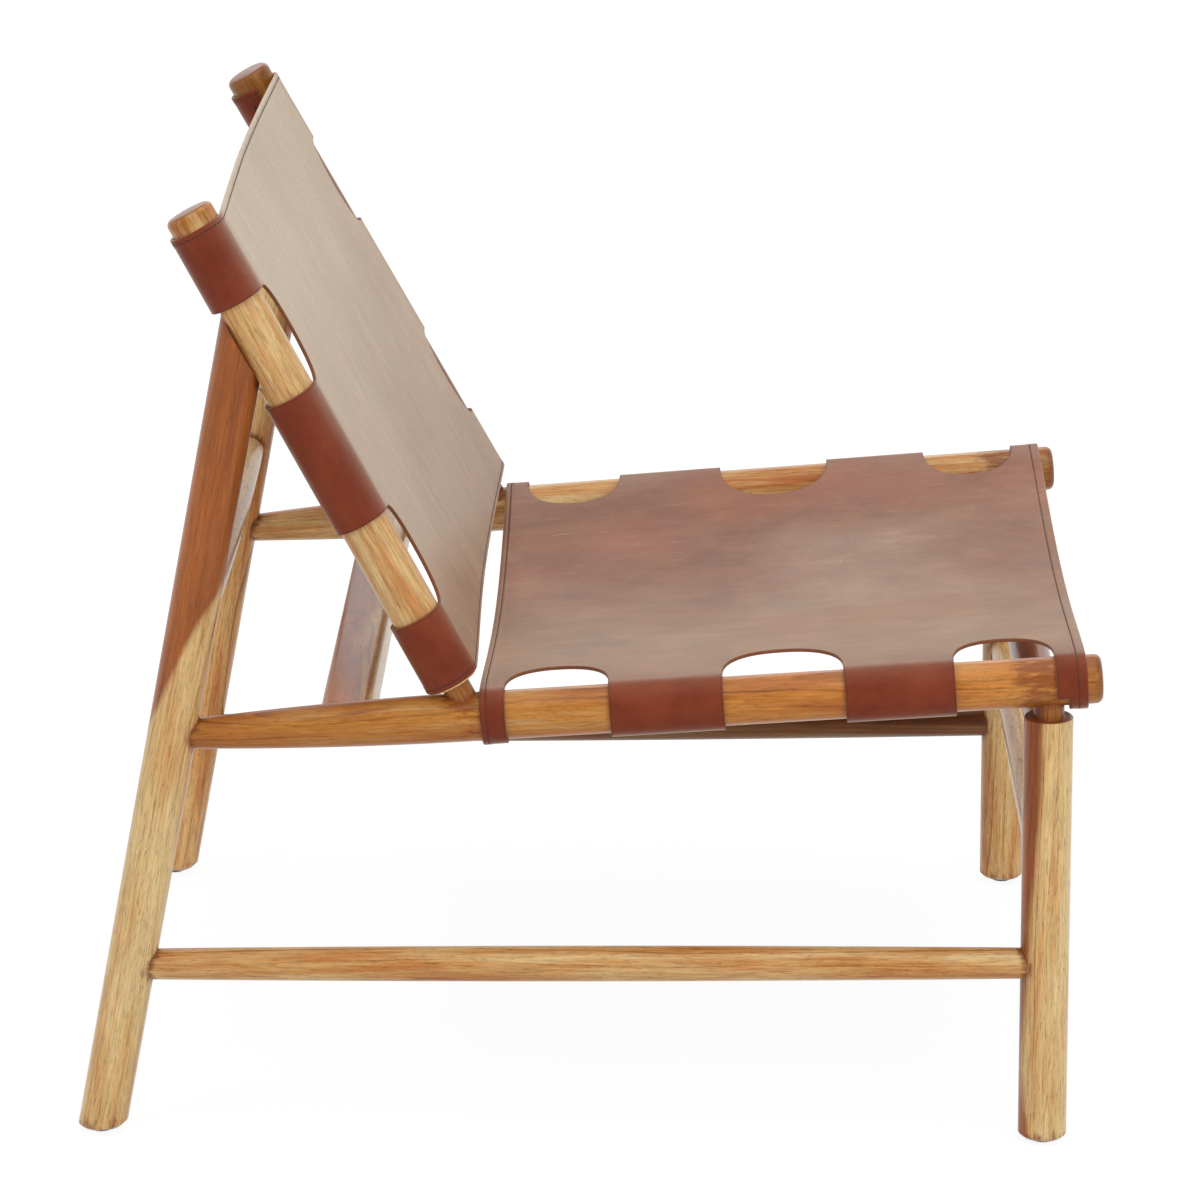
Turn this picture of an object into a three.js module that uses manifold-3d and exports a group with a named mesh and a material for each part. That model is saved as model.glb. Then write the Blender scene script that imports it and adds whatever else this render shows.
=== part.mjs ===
// A low lounge chair: a turned wooden frame that carries a leather seat and a leather back.
// Millimetres, +Z up, the chair looks along +X and stands on the plane z = 0.
// The two side frames mirror each other in the plane y = 0. Left and right are those of the sitter.
import * as THREE from "three";
import { mergeVertices } from "three/addons/utils/BufferGeometryUtils.js";
import Module from "manifold-3d";

const wasm = await Module();
wasm.setup();

// Overall layout of a side frame.
const FOOT_SPACING = 570; // between the middles of the left and right feet
const FOOT_SPREAD = 743; // from the middle of the rear foot to the middle of the front foot
const REAR_LEG_LEAN_IN = 2.3; // degrees from upright, towards the other rear leg
const FRONT_LEG_LEAN = 0.9; // degrees from upright, backwards
const POST_LEAN = 28.7; // degrees from upright, backwards
const RAIL_SLOPE = 4.7; // degrees that the seat rail falls towards the back
const RAIL_HEIGHT = 380.6; // axis of the seat rail where it crosses the front leg
const RAIL_OVERHANG = 40.5; // seat rail past the axis of the front leg
const POST_SETBACK = 484; // along the seat rail, from its front end to the axis of the post
const POST_LENGTH = 448; // from the axis of the seat rail to the top of the post
const LEVEL = 90; // degrees from upright

// Turned pieces.
const LEG_DIAMETER = 38;
const RAIL_DIAMETER = 38;
const RAIL_END_DIAMETER = 23.5; // where the seat rail enters the rear leg
const RAIL_TAPER_SETBACK = 480; // along the seat rail, from its front end to the start of the taper
const RAIL_END_ROUND = 6;
const POST_DIAMETER = 38;
const POST_NECK_DIAMETER = 22;
const POST_SHOULDER = 32; // from the axis of the seat rail up to the shoulder of the post
const POST_END_ROUND = 5;
const LEG_NECK_DIAMETER = 24;
const LEG_SHOULDER_GAP = 9; // bare neck between the front leg and the seat rail
const FOOT_CHAMFER = 3;
const STRETCHER_DIAMETER = 28; // in the middle
const STRETCHER_END_DIAMETER = 24.4;
const CROSS_RAIL_DIAMETER = 32;
const CROSS_RAIL_END_DIAMETER = 27;
const SOCKET_DEPTH = 15; // how far a turned end goes into the piece that holds it
const NECK_DEPTH = 21; // how far a neck goes into the seat rail
const JOINT_CLEARANCE = 0.3;

// Places of the pieces between the legs, each to its axis.
const SIDE_STRETCHER_FRONT_HEIGHT = 148.5;
const SIDE_STRETCHER_REAR_HEIGHT = 137;
const FRONT_STRETCHER_HEIGHT = 221;
const FRONT_CROSS_RAIL_DROP = 52.6; // below the axis of the seat rail, at the front leg
const BACK_CROSS_RAIL_DROP = 237; // along the rear leg, below its joint with the post

// The flat cross rail between the seat rails.
const BOARD_WIDTH = 40;
const BOARD_THICKNESS = 28;
const BOARD_EDGE_ROUND = 6;
const BOARD_PLACE_SHARE = 0.422; // of the way along the seat rail from the post to the rear leg
const BOARD_DROP = 1; // middle of the board below the axis of the seat rail
const BOARD_HOUSING = 9; // how far the board is let into each seat rail

// The rear leg butts on a flat planed on the back of the post, with a dowel across the joint.
const FLAT_DEPTH = 5;
const DOWEL_DIAMETER = 8;
const DOWEL_IN_POST = 14;
const DOWEL_IN_LEG = 20;

// Glides under the feet.
const GLIDE_DIAMETER = 15;
const GLIDE_HEIGHT = 3.5;
const GLIDE_EDGE = 1;
const GLIDE_STEM_DIAMETER = 5;
const GLIDE_STEM_LENGTH = 12;

// Leather.
const LEATHER = 2.8;
const LEATHER_CLEARANCE = 0.3;
const WRAP_ANGLE = 280; // degrees that a tab goes round its rail, from the side that carries the panel
const NOTCH_ANGLE = 112; // degrees where the tab is cut short beside a neck
const SEAT_SAG = 21;
const BACK_SAG = 5;
const SEAT_FRONT_SETBACK = 12; // from the front end of the seat rail to the edge of the seat
const SEAT_FRONT_TAB = 24;
const SEAT_REAR_TAB = 19.5;
const SEAT_REAR_GAP = 6.5; // from the rear edge of the seat to the axis of the post
const SEAT_CUTS = [76.5, 93, 80]; // lengths of the cut-outs between the tabs, front to rear
const SEAT_CUT_DEPTHS = [57, 69, 56];
const SEAT_TAB_SHARES = [0.49, 0.51]; // of what is left between them, front to rear
const NECK_GAP = 1.5; // between the front tab, where it goes under the rail, and the neck
const BACK_SETBACK = 13; // from the top of the post to the edge of the back
const BACK_TOP_TAB = 64;
const BACK_LOW_TAB = 59;
const BACK_LOW_GAP = 34; // from the axis of the seat rail up to the lower edge of the back
const BACK_CUTS = [82, 84]; // top to bottom
const BACK_CUT_DEPTHS = [27, 27];
const JOINT_PLACE_SHARE = 0.176; // where the rear leg meets the post, down the upper cut-out

// Facets.
const RADIAL_SEGMENTS = 28;
const STEM_SEGMENTS = 12;
const ROUND_STEPS = 4;
const TAPER_STEPS = 4; // from the middle to an end, or down a taper
const CORNER_SEGMENTS = 4;
const CUT_STEPS = 7; // along a cut-out
const TAB_STEP = 45; // longest facet along a tab
const PANEL_STEPS = 12; // across a panel
const WRAP_STEPS = 10; // round a rail

// Shares.
const TAPER_POWER = 2; // the taper of the turned pieces is a parabola
const SAG_POWER = 1.5; // the leather leaves its rails level
const CUT_POWER = 2.3; // the cut-outs are half ovals, a little squared

const OVERRUN = 10; // past a face that a cut goes through
const MERGE_DISTANCE = 1e-4; // vertices nearer than this are one

const wood = new THREE.MeshStandardMaterial({ color: 0xc8924f, roughness: 0.42, metalness: 0 });
const leather = new THREE.MeshStandardMaterial({ color: 0x7b4433, roughness: 0.38, metalness: 0 });
const rubber = new THREE.MeshStandardMaterial({ color: 0x1f1c1a, roughness: 0.7, metalness: 0 });

const UP = new THREE.Vector3(0, 0, 1);
const ALONG = new THREE.Vector3(0, 1, 0);
const NO_SCALE = new THREE.Vector3(1, 1, 1);

// Solids and geometry.
function solidOf(geometry, frame) {
  const bare = new THREE.BufferGeometry();
  const flat = geometry.index ? geometry.toNonIndexed() : geometry;
  bare.setAttribute("position", flat.getAttribute("position").clone());
  const merged = mergeVertices(bare.applyMatrix4(frame), MERGE_DISTANCE);
  return new wasm.Manifold(
    new wasm.Mesh({
      numProp: 3,
      vertProperties: merged.attributes.position.array,
      triVerts: new Uint32Array(merged.index.array),
    }),
  );
}

function geometryOf(solid) {
  const mesh = solid.getMesh();
  const geometry = new THREE.BufferGeometry();
  geometry.setAttribute("position", new THREE.BufferAttribute(mesh.vertProperties.slice(), 3));
  geometry.setIndex(new THREE.BufferAttribute(mesh.triVerts.slice(), 1));
  geometry.computeVertexNormals();
  return geometry;
}

// A named mesh: a shape in its own frame, less the cuts, which are solids in the chair's frame.
function piece(name, geometry, frame, material, cuts = []) {
  let solid = solidOf(geometry, frame);
  for (const cut of cuts) solid = solid.subtract(cut);
  const mesh = new THREE.Mesh(geometryOf(solid).applyMatrix4(frame.clone().invert()), material);
  mesh.name = name;
  frame.decompose(mesh.position, mesh.quaternion, mesh.scale);
  return mesh;
}

// The frame of a turned piece: its origin at the start and +Y along the piece.
function alongFrame(start, end) {
  const direction = end.clone().sub(start).normalize();
  const turn = new THREE.Quaternion().setFromUnitVectors(ALONG, direction);
  return new THREE.Matrix4().compose(start, turn, NO_SCALE);
}

// A frame with its Y axis level across the chair and its X axis turned down from the front.
function acrossFrame(point, degrees) {
  const turn = new THREE.Matrix4().makeRotationY(THREE.MathUtils.degToRad(degrees));
  return turn.setPosition(point.x, 0, point.z);
}

// A turned solid from [radius, distance] pairs, closed on its axis at both ends.
function turned(profile, segments = RADIAL_SEGMENTS) {
  const points = profile.map(([radius, distance]) => new THREE.Vector2(radius, distance));
  points.unshift(new THREE.Vector2(0, profile[0][1]));
  points.push(new THREE.Vector2(0, profile[profile.length - 1][1]));
  return new THREE.LatheGeometry(points, segments);
}

// A plain round bore or peg from one distance to another along a piece's frame.
function bore(frame, diameter, from, to, segments = RADIAL_SEGMENTS) {
  return solidOf(turned([[diameter / 2, from], [diameter / 2, to]], segments), frame);
}

// The quarter round at the start of a turned piece, from its flat end out to the full radius.
function roundedEnd(radius, round) {
  return Array.from({ length: ROUND_STEPS + 1 }, (_, i) => {
    const angle = ((Math.PI / 2) * i) / ROUND_STEPS;
    return [radius - round + round * Math.sin(angle), round - round * Math.cos(angle)];
  });
}

// A bar between two sockets, thickest in the middle.
function barrel(length, diameter, endDiameter) {
  const steps = 2 * TAPER_STEPS;
  return turned([
    [endDiameter / 2, 0],
    ...Array.from({ length: steps + 1 }, (_, i) => {
      const share = Math.abs(i / TAPER_STEPS - 1);
      const radius = (diameter - (diameter - endDiameter) * share ** TAPER_POWER) / 2;
      return [radius, SOCKET_DEPTH + ((length - 2 * SOCKET_DEPTH) * i) / steps];
    }),
    [endDiameter / 2, length],
  ]);
}

const legRadius = LEG_DIAMETER / 2;
const railRadius = RAIL_DIAMETER / 2;
const postRadius = POST_DIAMETER / 2;

// Lines are an origin and a unit direction.
function leaning(origin, forwards, inwards) {
  const forward = THREE.MathUtils.degToRad(forwards);
  const inward = -Math.sign(origin.y) * THREE.MathUtils.degToRad(inwards);
  const way = new THREE.Vector3(
    Math.sin(forward) * Math.cos(inward),
    Math.sin(inward),
    Math.cos(forward) * Math.cos(inward),
  );
  return { origin, way };
}
const through = (from, to) => ({ origin: from, way: to.clone().sub(from).normalize() });
const pointOn = (l, distance) => l.origin.clone().addScaledVector(l.way, distance);
const atHeight = (l, z) => pointOn(l, (z - l.origin.z) / l.way.z);
// The distance along line a to where it crosses line b, seen from the side.
function crossing(a, b) {
  const gap = b.origin.clone().sub(a.origin);
  return (gap.x * b.way.z - gap.z * b.way.x) / (a.way.x * b.way.z - a.way.z * b.way.x);
}

// Down the post, from its top to its joint with the rear leg.
const JOINT_SETBACK = BACK_SETBACK + BACK_TOP_TAB + BACK_CUTS[0] * JOINT_PLACE_SHARE;

// The axes of one side frame. The rail and the post lean in as far as the rear leg makes them, so
// that all the axes meet.
function axesOf(sign) {
  const y = (sign * FOOT_SPACING) / 2;
  const frontLeg = leaning(new THREE.Vector3(FOOT_SPREAD, y, 0), -FRONT_LEG_LEAN, 0);
  const legPoint = atHeight(frontLeg, RAIL_HEIGHT);
  // Seen from the side, the rear leg leans from its foot to its joint on the post.
  const slope = leaning(legPoint, -LEVEL - RAIL_SLOPE, 0);
  const rake = leaning(pointOn(slope, POST_SETBACK - RAIL_OVERHANG), -POST_LEAN, 0);
  const joint = pointOn(rake, POST_LENGTH - JOINT_SETBACK);
  const rearLeg = leaning(
    new THREE.Vector3(0, y, 0),
    THREE.MathUtils.radToDeg(Math.atan2(joint.x, joint.z)),
    REAR_LEG_LEAN_IN,
  );
  const rail = through(legPoint, pointOn(rearLeg, crossing(rearLeg, slope)));
  rail.origin.addScaledVector(rail.way, -RAIL_OVERHANG);
  const post = through(pointOn(rail, POST_SETBACK), pointOn(rearLeg, crossing(rearLeg, rake)));
  return { rearLeg, frontLeg, rail, post };
}
const axes = { right: axesOf(-1), left: axesOf(1) };

// The front leg: its shoulder lies below the seat rail and its neck ends above the rail's axis.
const { rearLeg, frontLeg, rail, post } = axes.left;
const frontLegToRail = crossing(frontLeg, rail);
const frontLegShoulder = frontLegToRail - railRadius - LEG_SHOULDER_GAP;
const frontLegEnd = frontLegToRail - railRadius + NECK_DEPTH;
const railToRearLeg = crossing(rail, rearLeg);
const railEnd = railToRearLeg - legRadius + SOCKET_DEPTH;

// Where the rear leg meets the flat on the back of the post.
const jointAngle = rearLeg.way.angleTo(post.way);
const rearLegToFlat = crossing(rearLeg, post) - (postRadius - FLAT_DEPTH) / Math.sin(jointAngle);

// A frame in the middle of that flat, with X forwards through the post and Z up along it.
function flatFrame(side) {
  const up = axes[side].post.way;
  const across = new THREE.Vector3().crossVectors(up, axes[side].rearLeg.way).normalize();
  const forward = new THREE.Vector3().crossVectors(across, up);
  return new THREE.Matrix4().makeBasis(forward, across, up).setPosition(pointOn(axes[side].rearLeg, rearLegToFlat));
}

// The box in front of the flat that trims the end of the leg.
function legTrim(side) {
  const reach = LEG_DIAMETER + OVERRUN;
  const box = new THREE.BoxGeometry(reach, 2 * reach, 4 * reach);
  return solidOf(box.translate(reach / 2 - JOINT_CLEARANCE, 0, 0), flatFrame(side));
}

// The part of the post that is planed away: the end of the leg, and the run below it where the
// leg would still touch the round post.
function flatOnPost(side) {
  const run = FLAT_DEPTH / Math.tan(jointAngle) + JOINT_CLEARANCE / Math.sin(jointAngle);
  const length = LEG_DIAMETER / Math.sin(jointAngle) + run;
  const box = new THREE.BoxGeometry(OVERRUN, LEG_DIAMETER + OVERRUN, length);
  return solidOf(box.translate(-OVERRUN / 2, 0, -run / 2), flatFrame(side));
}

// What is cut from the bottom of a leg: all that lies below a level foot with a chamfered edge,
// and the hole for the stem of the glide.
function footCuts(foot) {
  const inner = legRadius - FOOT_CHAMFER;
  const outer = legRadius + OVERRUN;
  const ring = [
    [outer, -LEG_DIAMETER],
    [outer, GLIDE_HEIGHT + outer - inner],
    [inner, GLIDE_HEIGHT],
  ];
  const upright = alongFrame(foot, foot.clone().add(UP));
  const wide = GLIDE_STEM_DIAMETER + 2 * JOINT_CLEARANCE;
  const end = GLIDE_HEIGHT + GLIDE_STEM_LENGTH + JOINT_CLEARANCE;
  return [solidOf(turned(ring), upright), bore(upright, wide, -OVERRUN, end, STEM_SEGMENTS)];
}

function glide(name, foot) {
  const radius = GLIDE_DIAMETER / 2;
  const top = GLIDE_HEIGHT - JOINT_CLEARANCE;
  const geometry = turned(
    [
      [radius - GLIDE_EDGE, 0],
      [radius, GLIDE_EDGE],
      [radius, top],
      [GLIDE_STEM_DIAMETER / 2, top],
      [GLIDE_STEM_DIAMETER / 2, top + GLIDE_STEM_LENGTH],
    ],
    STEM_SEGMENTS,
  );
  return piece(name, geometry, alongFrame(foot, foot.clone().add(UP)), rubber);
}

// A cross piece between the two legs at a point on the left one, with its ends in sockets.
function crossFrame(point) {
  const reach = point.y - legRadius + SOCKET_DEPTH;
  const start = new THREE.Vector3(point.x, -reach, point.z);
  return { length: 2 * reach, frame: alongFrame(start, start.clone().setY(reach)) };
}

function socketsOf(cross, endDiameter) {
  const wide = endDiameter + 2 * JOINT_CLEARANCE;
  return {
    right: bore(cross.frame, wide, -JOINT_CLEARANCE, LEG_DIAMETER),
    left: bore(cross.frame, wide, cross.length - LEG_DIAMETER, cross.length + JOINT_CLEARANCE),
  };
}

const frontStretcher = crossFrame(atHeight(frontLeg, FRONT_STRETCHER_HEIGHT));
const frontCrossRail = crossFrame(atHeight(frontLeg, RAIL_HEIGHT - FRONT_CROSS_RAIL_DROP));
const backCrossRail = crossFrame(pointOn(rearLeg, rearLegToFlat - BACK_CROSS_RAIL_DROP));
const frontStretcherSockets = socketsOf(frontStretcher, STRETCHER_END_DIAMETER);
const frontCrossRailSockets = socketsOf(frontCrossRail, CROSS_RAIL_END_DIAMETER);
const backCrossRailSockets = socketsOf(backCrossRail, CROSS_RAIL_END_DIAMETER);

// The flat board: a rounded outline, extruded from one housing to the other.
const boardEnd = pointOn(rail, POST_SETBACK + (railToRearLeg - POST_SETBACK) * BOARD_PLACE_SHARE);
const boardReach = boardEnd.y - railRadius + BOARD_HOUSING;

function boardGeometry(grow) {
  const w = BOARD_WIDTH / 2 + grow;
  const t = BOARD_THICKNESS / 2 + grow;
  const r = BOARD_EDGE_ROUND + grow;
  const shape = new THREE.Shape();
  shape.moveTo(r - w, -t);
  shape.lineTo(w - r, -t);
  shape.absarc(w - r, r - t, r, -Math.PI / 2, 0);
  shape.lineTo(w, t - r);
  shape.absarc(w - r, t - r, r, 0, Math.PI / 2);
  shape.lineTo(r - w, t);
  shape.absarc(r - w, t - r, r, Math.PI / 2, Math.PI);
  shape.lineTo(-w, r - t);
  shape.absarc(r - w, r - t, r, Math.PI, 1.5 * Math.PI);
  const depth = 2 * (boardReach + grow);
  const geometry = new THREE.ExtrudeGeometry(shape, {
    depth,
    bevelEnabled: false,
    curveSegments: CORNER_SEGMENTS,
  });
  return geometry.translate(0, 0, -depth / 2).rotateX(Math.PI / 2).translate(0, 0, -BOARD_DROP);
}
const boardFrame = acrossFrame(boardEnd, -RAIL_SLOPE);
const boardHousing = solidOf(boardGeometry(JOINT_CLEARANCE), boardFrame);

const chair = new THREE.Group();

function sideFrame(side) {
  const { rearLeg, frontLeg, rail, post } = axes[side];
  const group = new THREE.Group();

  // Seat rail, from its rounded front end to the tapered end in the rear leg.
  const railFrame = alongFrame(rail.origin, pointOn(rail, railEnd));
  const taperLength = railToRearLeg - legRadius - RAIL_TAPER_SETBACK;
  const railProfile = [
    ...roundedEnd(railRadius, RAIL_END_ROUND),
    ...Array.from({ length: TAPER_STEPS + 1 }, (_, i) => {
      const share = i / TAPER_STEPS;
      const radius = (RAIL_DIAMETER - (RAIL_DIAMETER - RAIL_END_DIAMETER) * share ** TAPER_POWER) / 2;
      return [radius, RAIL_TAPER_SETBACK + taperLength * share];
    }),
    [RAIL_END_DIAMETER / 2, railEnd],
  ];

  // Front leg.
  const frontLegFrame = alongFrame(pointOn(frontLeg, -OVERRUN), pointOn(frontLeg, frontLegEnd));
  const frontLegProfile = [
    [legRadius, 0],
    [legRadius, OVERRUN + frontLegShoulder],
    [LEG_NECK_DIAMETER / 2, OVERRUN + frontLegShoulder],
    [LEG_NECK_DIAMETER / 2, OVERRUN + frontLegEnd],
  ];
  const neckMortise = bore(
    frontLegFrame,
    LEG_NECK_DIAMETER + 2 * JOINT_CLEARANCE,
    OVERRUN + frontLegToRail - RAIL_DIAMETER,
    OVERRUN + frontLegEnd + JOINT_CLEARANCE,
  );

  // Back post.
  const postStart = railRadius - NECK_DEPTH;
  const postFrame = alongFrame(pointOn(post, POST_LENGTH), pointOn(post, postStart));
  const postProfile = [
    ...roundedEnd(postRadius, POST_END_ROUND),
    [postRadius, POST_LENGTH - POST_SHOULDER],
    [POST_NECK_DIAMETER / 2, POST_LENGTH - POST_SHOULDER],
    [POST_NECK_DIAMETER / 2, POST_LENGTH - postStart],
  ];
  const postMortise = bore(
    postFrame,
    POST_NECK_DIAMETER + 2 * JOINT_CLEARANCE,
    POST_LENGTH - RAIL_DIAMETER,
    POST_LENGTH - postStart + JOINT_CLEARANCE,
  );

  // Rear leg, with the socket of the seat rail and the dowel that ties it to the post.
  const rearLegTop = rearLegToFlat + LEG_DIAMETER;
  const rearLegFrame = alongFrame(pointOn(rearLeg, -OVERRUN), pointOn(rearLeg, rearLegTop));
  const rearLegProfile = [[legRadius, 0], [legRadius, OVERRUN + rearLegTop]];
  const railSocket = bore(
    railFrame,
    RAIL_END_DIAMETER + 2 * JOINT_CLEARANCE,
    railEnd - LEG_DIAMETER,
    railEnd + JOINT_CLEARANCE,
  );
  const flat = flatFrame(side);
  const dowelFrame = alongFrame(
    new THREE.Vector3(-DOWEL_IN_LEG, 0, 0).applyMatrix4(flat),
    new THREE.Vector3(DOWEL_IN_POST, 0, 0).applyMatrix4(flat),
  );
  const dowelLength = DOWEL_IN_LEG + DOWEL_IN_POST;
  const dowelHole = bore(
    dowelFrame,
    DOWEL_DIAMETER + 2 * JOINT_CLEARANCE,
    -JOINT_CLEARANCE,
    dowelLength + JOINT_CLEARANCE,
    STEM_SEGMENTS,
  );

  // Side stretcher, from the rear leg to the front leg.
  const low = atHeight(rearLeg, SIDE_STRETCHER_REAR_HEIGHT);
  const high = atHeight(frontLeg, SIDE_STRETCHER_FRONT_HEIGHT);
  const stretcher = through(low, high);
  const stretcherStart = pointOn(stretcher, legRadius - SOCKET_DEPTH);
  const stretcherEnd = pointOn(stretcher, low.distanceTo(high) + SOCKET_DEPTH - legRadius);
  const stretcherLength = stretcherEnd.distanceTo(stretcherStart);
  const stretcherFrame = alongFrame(stretcherStart, stretcherEnd);
  const wide = STRETCHER_END_DIAMETER + 2 * JOINT_CLEARANCE;
  const rearSocket = bore(stretcherFrame, wide, -JOINT_CLEARANCE, LEG_DIAMETER);
  const frontSocket = bore(
    stretcherFrame,
    wide,
    stretcherLength - LEG_DIAMETER,
    stretcherLength + JOINT_CLEARANCE,
  );

  group.add(
    piece("seat_rail_" + side, turned(railProfile), railFrame, wood, [
      neckMortise,
      postMortise,
      boardHousing,
    ]),
    piece("front_leg_" + side, turned(frontLegProfile), frontLegFrame, wood, [
      ...footCuts(frontLeg.origin),
      frontSocket,
      frontStretcherSockets[side],
      frontCrossRailSockets[side],
    ]),
    piece("back_post_" + side, turned(postProfile), postFrame, wood, [flatOnPost(side), dowelHole]),
    piece("rear_leg_" + side, turned(rearLegProfile), rearLegFrame, wood, [
      legTrim(side),
      ...footCuts(rearLeg.origin),
      railSocket,
      rearSocket,
      dowelHole,
      backCrossRailSockets[side],
    ]),
    piece(
      "side_stretcher_" + side,
      barrel(stretcherLength, STRETCHER_DIAMETER, STRETCHER_END_DIAMETER),
      stretcherFrame,
      wood,
    ),
    piece(
      "joint_dowel_" + side,
      turned([[DOWEL_DIAMETER / 2, 0], [DOWEL_DIAMETER / 2, dowelLength]], STEM_SEGMENTS),
      dowelFrame,
      wood,
    ),
    glide("foot_glide_front_" + side, frontLeg.origin),
    glide("foot_glide_rear_" + side, rearLeg.origin),
  );
  return group;
}

chair.add(sideFrame("right"), sideFrame("left"));
chair.add(
  piece(
    "front_stretcher",
    barrel(frontStretcher.length, STRETCHER_DIAMETER, STRETCHER_END_DIAMETER),
    frontStretcher.frame,
    wood,
  ),
  piece(
    "front_cross_rail",
    barrel(frontCrossRail.length, CROSS_RAIL_DIAMETER, CROSS_RAIL_END_DIAMETER),
    frontCrossRail.frame,
    wood,
  ),
  piece(
    "back_cross_rail",
    barrel(backCrossRail.length, CROSS_RAIL_DIAMETER, CROSS_RAIL_END_DIAMETER),
    backCrossRail.frame,
    wood,
  ),
  piece("rear_cross_rail", boardGeometry(0), boardFrame, wood),
);

// A leather sling. Its frame has X along the rails, away from the first edge, Y across and Z out of
// the face that is sat on. Between the tabs a half oval is cut out beside each rail.
function slingGeometry({ tabs, cuts, cutDepths, sag, radius, notch, halfWidthAt }) {
  // Stations along the rails, each with how much of the half width is cut out there.
  const stations = [{ x: 0, cut: 0 }];
  const wraps = []; // for each cell between two stations, how many steps go round the rail
  const notchSteps = Math.round((WRAP_STEPS * NOTCH_ANGLE) / WRAP_ANGLE);
  let start = 0;
  tabs.forEach((tab, t) => {
    const stops = t === 0 && notch ? [notch, tab] : [];
    const count = Math.ceil(tab / TAB_STEP);
    if (!stops.length) for (let i = 1; i <= count; i++) stops.push((tab * i) / count);
    stops.forEach((stop, i) => {
      stations.push({ x: start + stop, cut: 0 });
      wraps.push(t === 0 && notch && i > 0 ? notchSteps : WRAP_STEPS);
    });
    start += tab;
    if (t === cuts.length) return;
    for (let i = 1; i <= CUT_STEPS; i++) {
      const share = -Math.cos((Math.PI * i) / CUT_STEPS);
      const hollow = i < CUT_STEPS ? (1 - Math.abs(share) ** CUT_POWER) ** (1 / CUT_POWER) : 0;
      stations.push({ x: start + (cuts[t] * (1 + share)) / 2, cut: cutDepths[t] * hollow });
      wraps.push(0);
    }
    start += cuts[t];
  });

  // Inner and outer positions: across the panel first, then on round the rails.
  const turn = THREE.MathUtils.degToRad(WRAP_ANGLE) / WRAP_STEPS;
  const innerRadius = (radius + LEATHER_CLEARANCE) / Math.cos(turn / 2);
  const outerRadius = (radius + LEATHER_CLEARANCE + LEATHER) / Math.cos(turn / 2);
  const half = PANEL_STEPS / 2;
  const last = half + WRAP_STEPS;
  const width = 2 * last + 1;
  const inner = [];
  const outer = [];
  stations.forEach(({ x, cut }) => {
    const halfWidth = halfWidthAt(x);
    for (let j = -last; j <= last; j++) {
      if (Math.abs(j) <= half) {
        const y = ((halfWidth - cut) * j) / half;
        const drop = sag * Math.max(0, 1 - (y / halfWidth) ** 2) ** SAG_POWER;
        inner.push(x, y, innerRadius - drop);
        outer.push(x, y, outerRadius - drop);
      } else {
        const angle = turn * (Math.abs(j) - half);
        const way = Math.sign(j);
        for (const [list, r] of [[inner, innerRadius], [outer, outerRadius]])
          list.push(x, way * (halfWidth + r * Math.sin(angle)), r * Math.cos(angle));
      }
    }
  });

  // Faces of the sheet, then walls along every edge that has a face on one side only.
  const quads = [];
  wraps.forEach((wrap, i) => {
    for (let j = -half - wrap; j < half + wrap; j++) {
      const a = i * width + j + last;
      quads.push([a, a + width, a + width + 1, a + 1]);
    }
  });
  const edges = new Set(quads.flatMap((q) => q.map((a, k) => a + ":" + q[(k + 1) % 4])));
  const count = stations.length * width;
  const index = [];
  for (const [a, b, c, d] of quads) {
    index.push(a, b, c, a, c, d);
    index.push(count + a, count + c, count + b, count + a, count + d, count + c);
    [[a, b], [b, c], [c, d], [d, a]].forEach(([p, q]) => {
      if (!edges.has(q + ":" + p)) index.push(q, p, count + p, q, count + p, count + q);
    });
  }
  const geometry = new THREE.BufferGeometry();
  geometry.setAttribute("position", new THREE.Float32BufferAttribute([...outer, ...inner], 3));
  geometry.setIndex(index);
  return geometry;
}

// The seat starts at the front of the seat rails and the back at the top of the posts. The tabs
// that are not at an edge take what the others and the cut-outs leave.
const total = (lengths) => lengths.reduce((sum, length) => sum + length, 0);
const seatEdge = pointOn(rail, SEAT_FRONT_SETBACK);
const seatRest =
  POST_SETBACK - SEAT_REAR_GAP - SEAT_FRONT_SETBACK - SEAT_FRONT_TAB - SEAT_REAR_TAB - total(SEAT_CUTS);
const seat = slingGeometry({
  tabs: [SEAT_FRONT_TAB, ...SEAT_TAB_SHARES.map((share) => seatRest * share), SEAT_REAR_TAB],
  cuts: SEAT_CUTS,
  cutDepths: SEAT_CUT_DEPTHS,
  sag: SEAT_SAG,
  radius: railRadius,
  notch: RAIL_OVERHANG - LEG_NECK_DIAMETER / 2 - NECK_GAP - SEAT_FRONT_SETBACK,
  halfWidthAt: (x) => pointOn(rail, SEAT_FRONT_SETBACK + x).y,
});
// The seat runs backwards from its front edge, so its frame is turned half round.
seat.rotateZ(Math.PI);
const backEdge = pointOn(post, POST_LENGTH - BACK_SETBACK);
const backRest =
  POST_LENGTH - BACK_SETBACK - BACK_LOW_GAP - BACK_TOP_TAB - BACK_LOW_TAB - total(BACK_CUTS);
const back = slingGeometry({
  tabs: [BACK_TOP_TAB, backRest, BACK_LOW_TAB],
  cuts: BACK_CUTS,
  cutDepths: BACK_CUT_DEPTHS,
  sag: BACK_SAG,
  radius: postRadius,
  halfWidthAt: (x) => pointOn(post, POST_LENGTH - BACK_SETBACK - x).y,
});
chair.add(
  piece("seat_sling", seat, acrossFrame(seatEdge, -RAIL_SLOPE), leather),
  piece("back_sling", back, acrossFrame(backEdge, LEVEL - POST_LEAN), leather),
);

// The origin is on the floor, in the middle of the chair's outline.
chair.updateMatrixWorld(true);
const outline = new THREE.Box3().setFromObject(chair, true);
chair.position.x = -(outline.min.x + outline.max.x) / 2;

export default chair;
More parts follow.
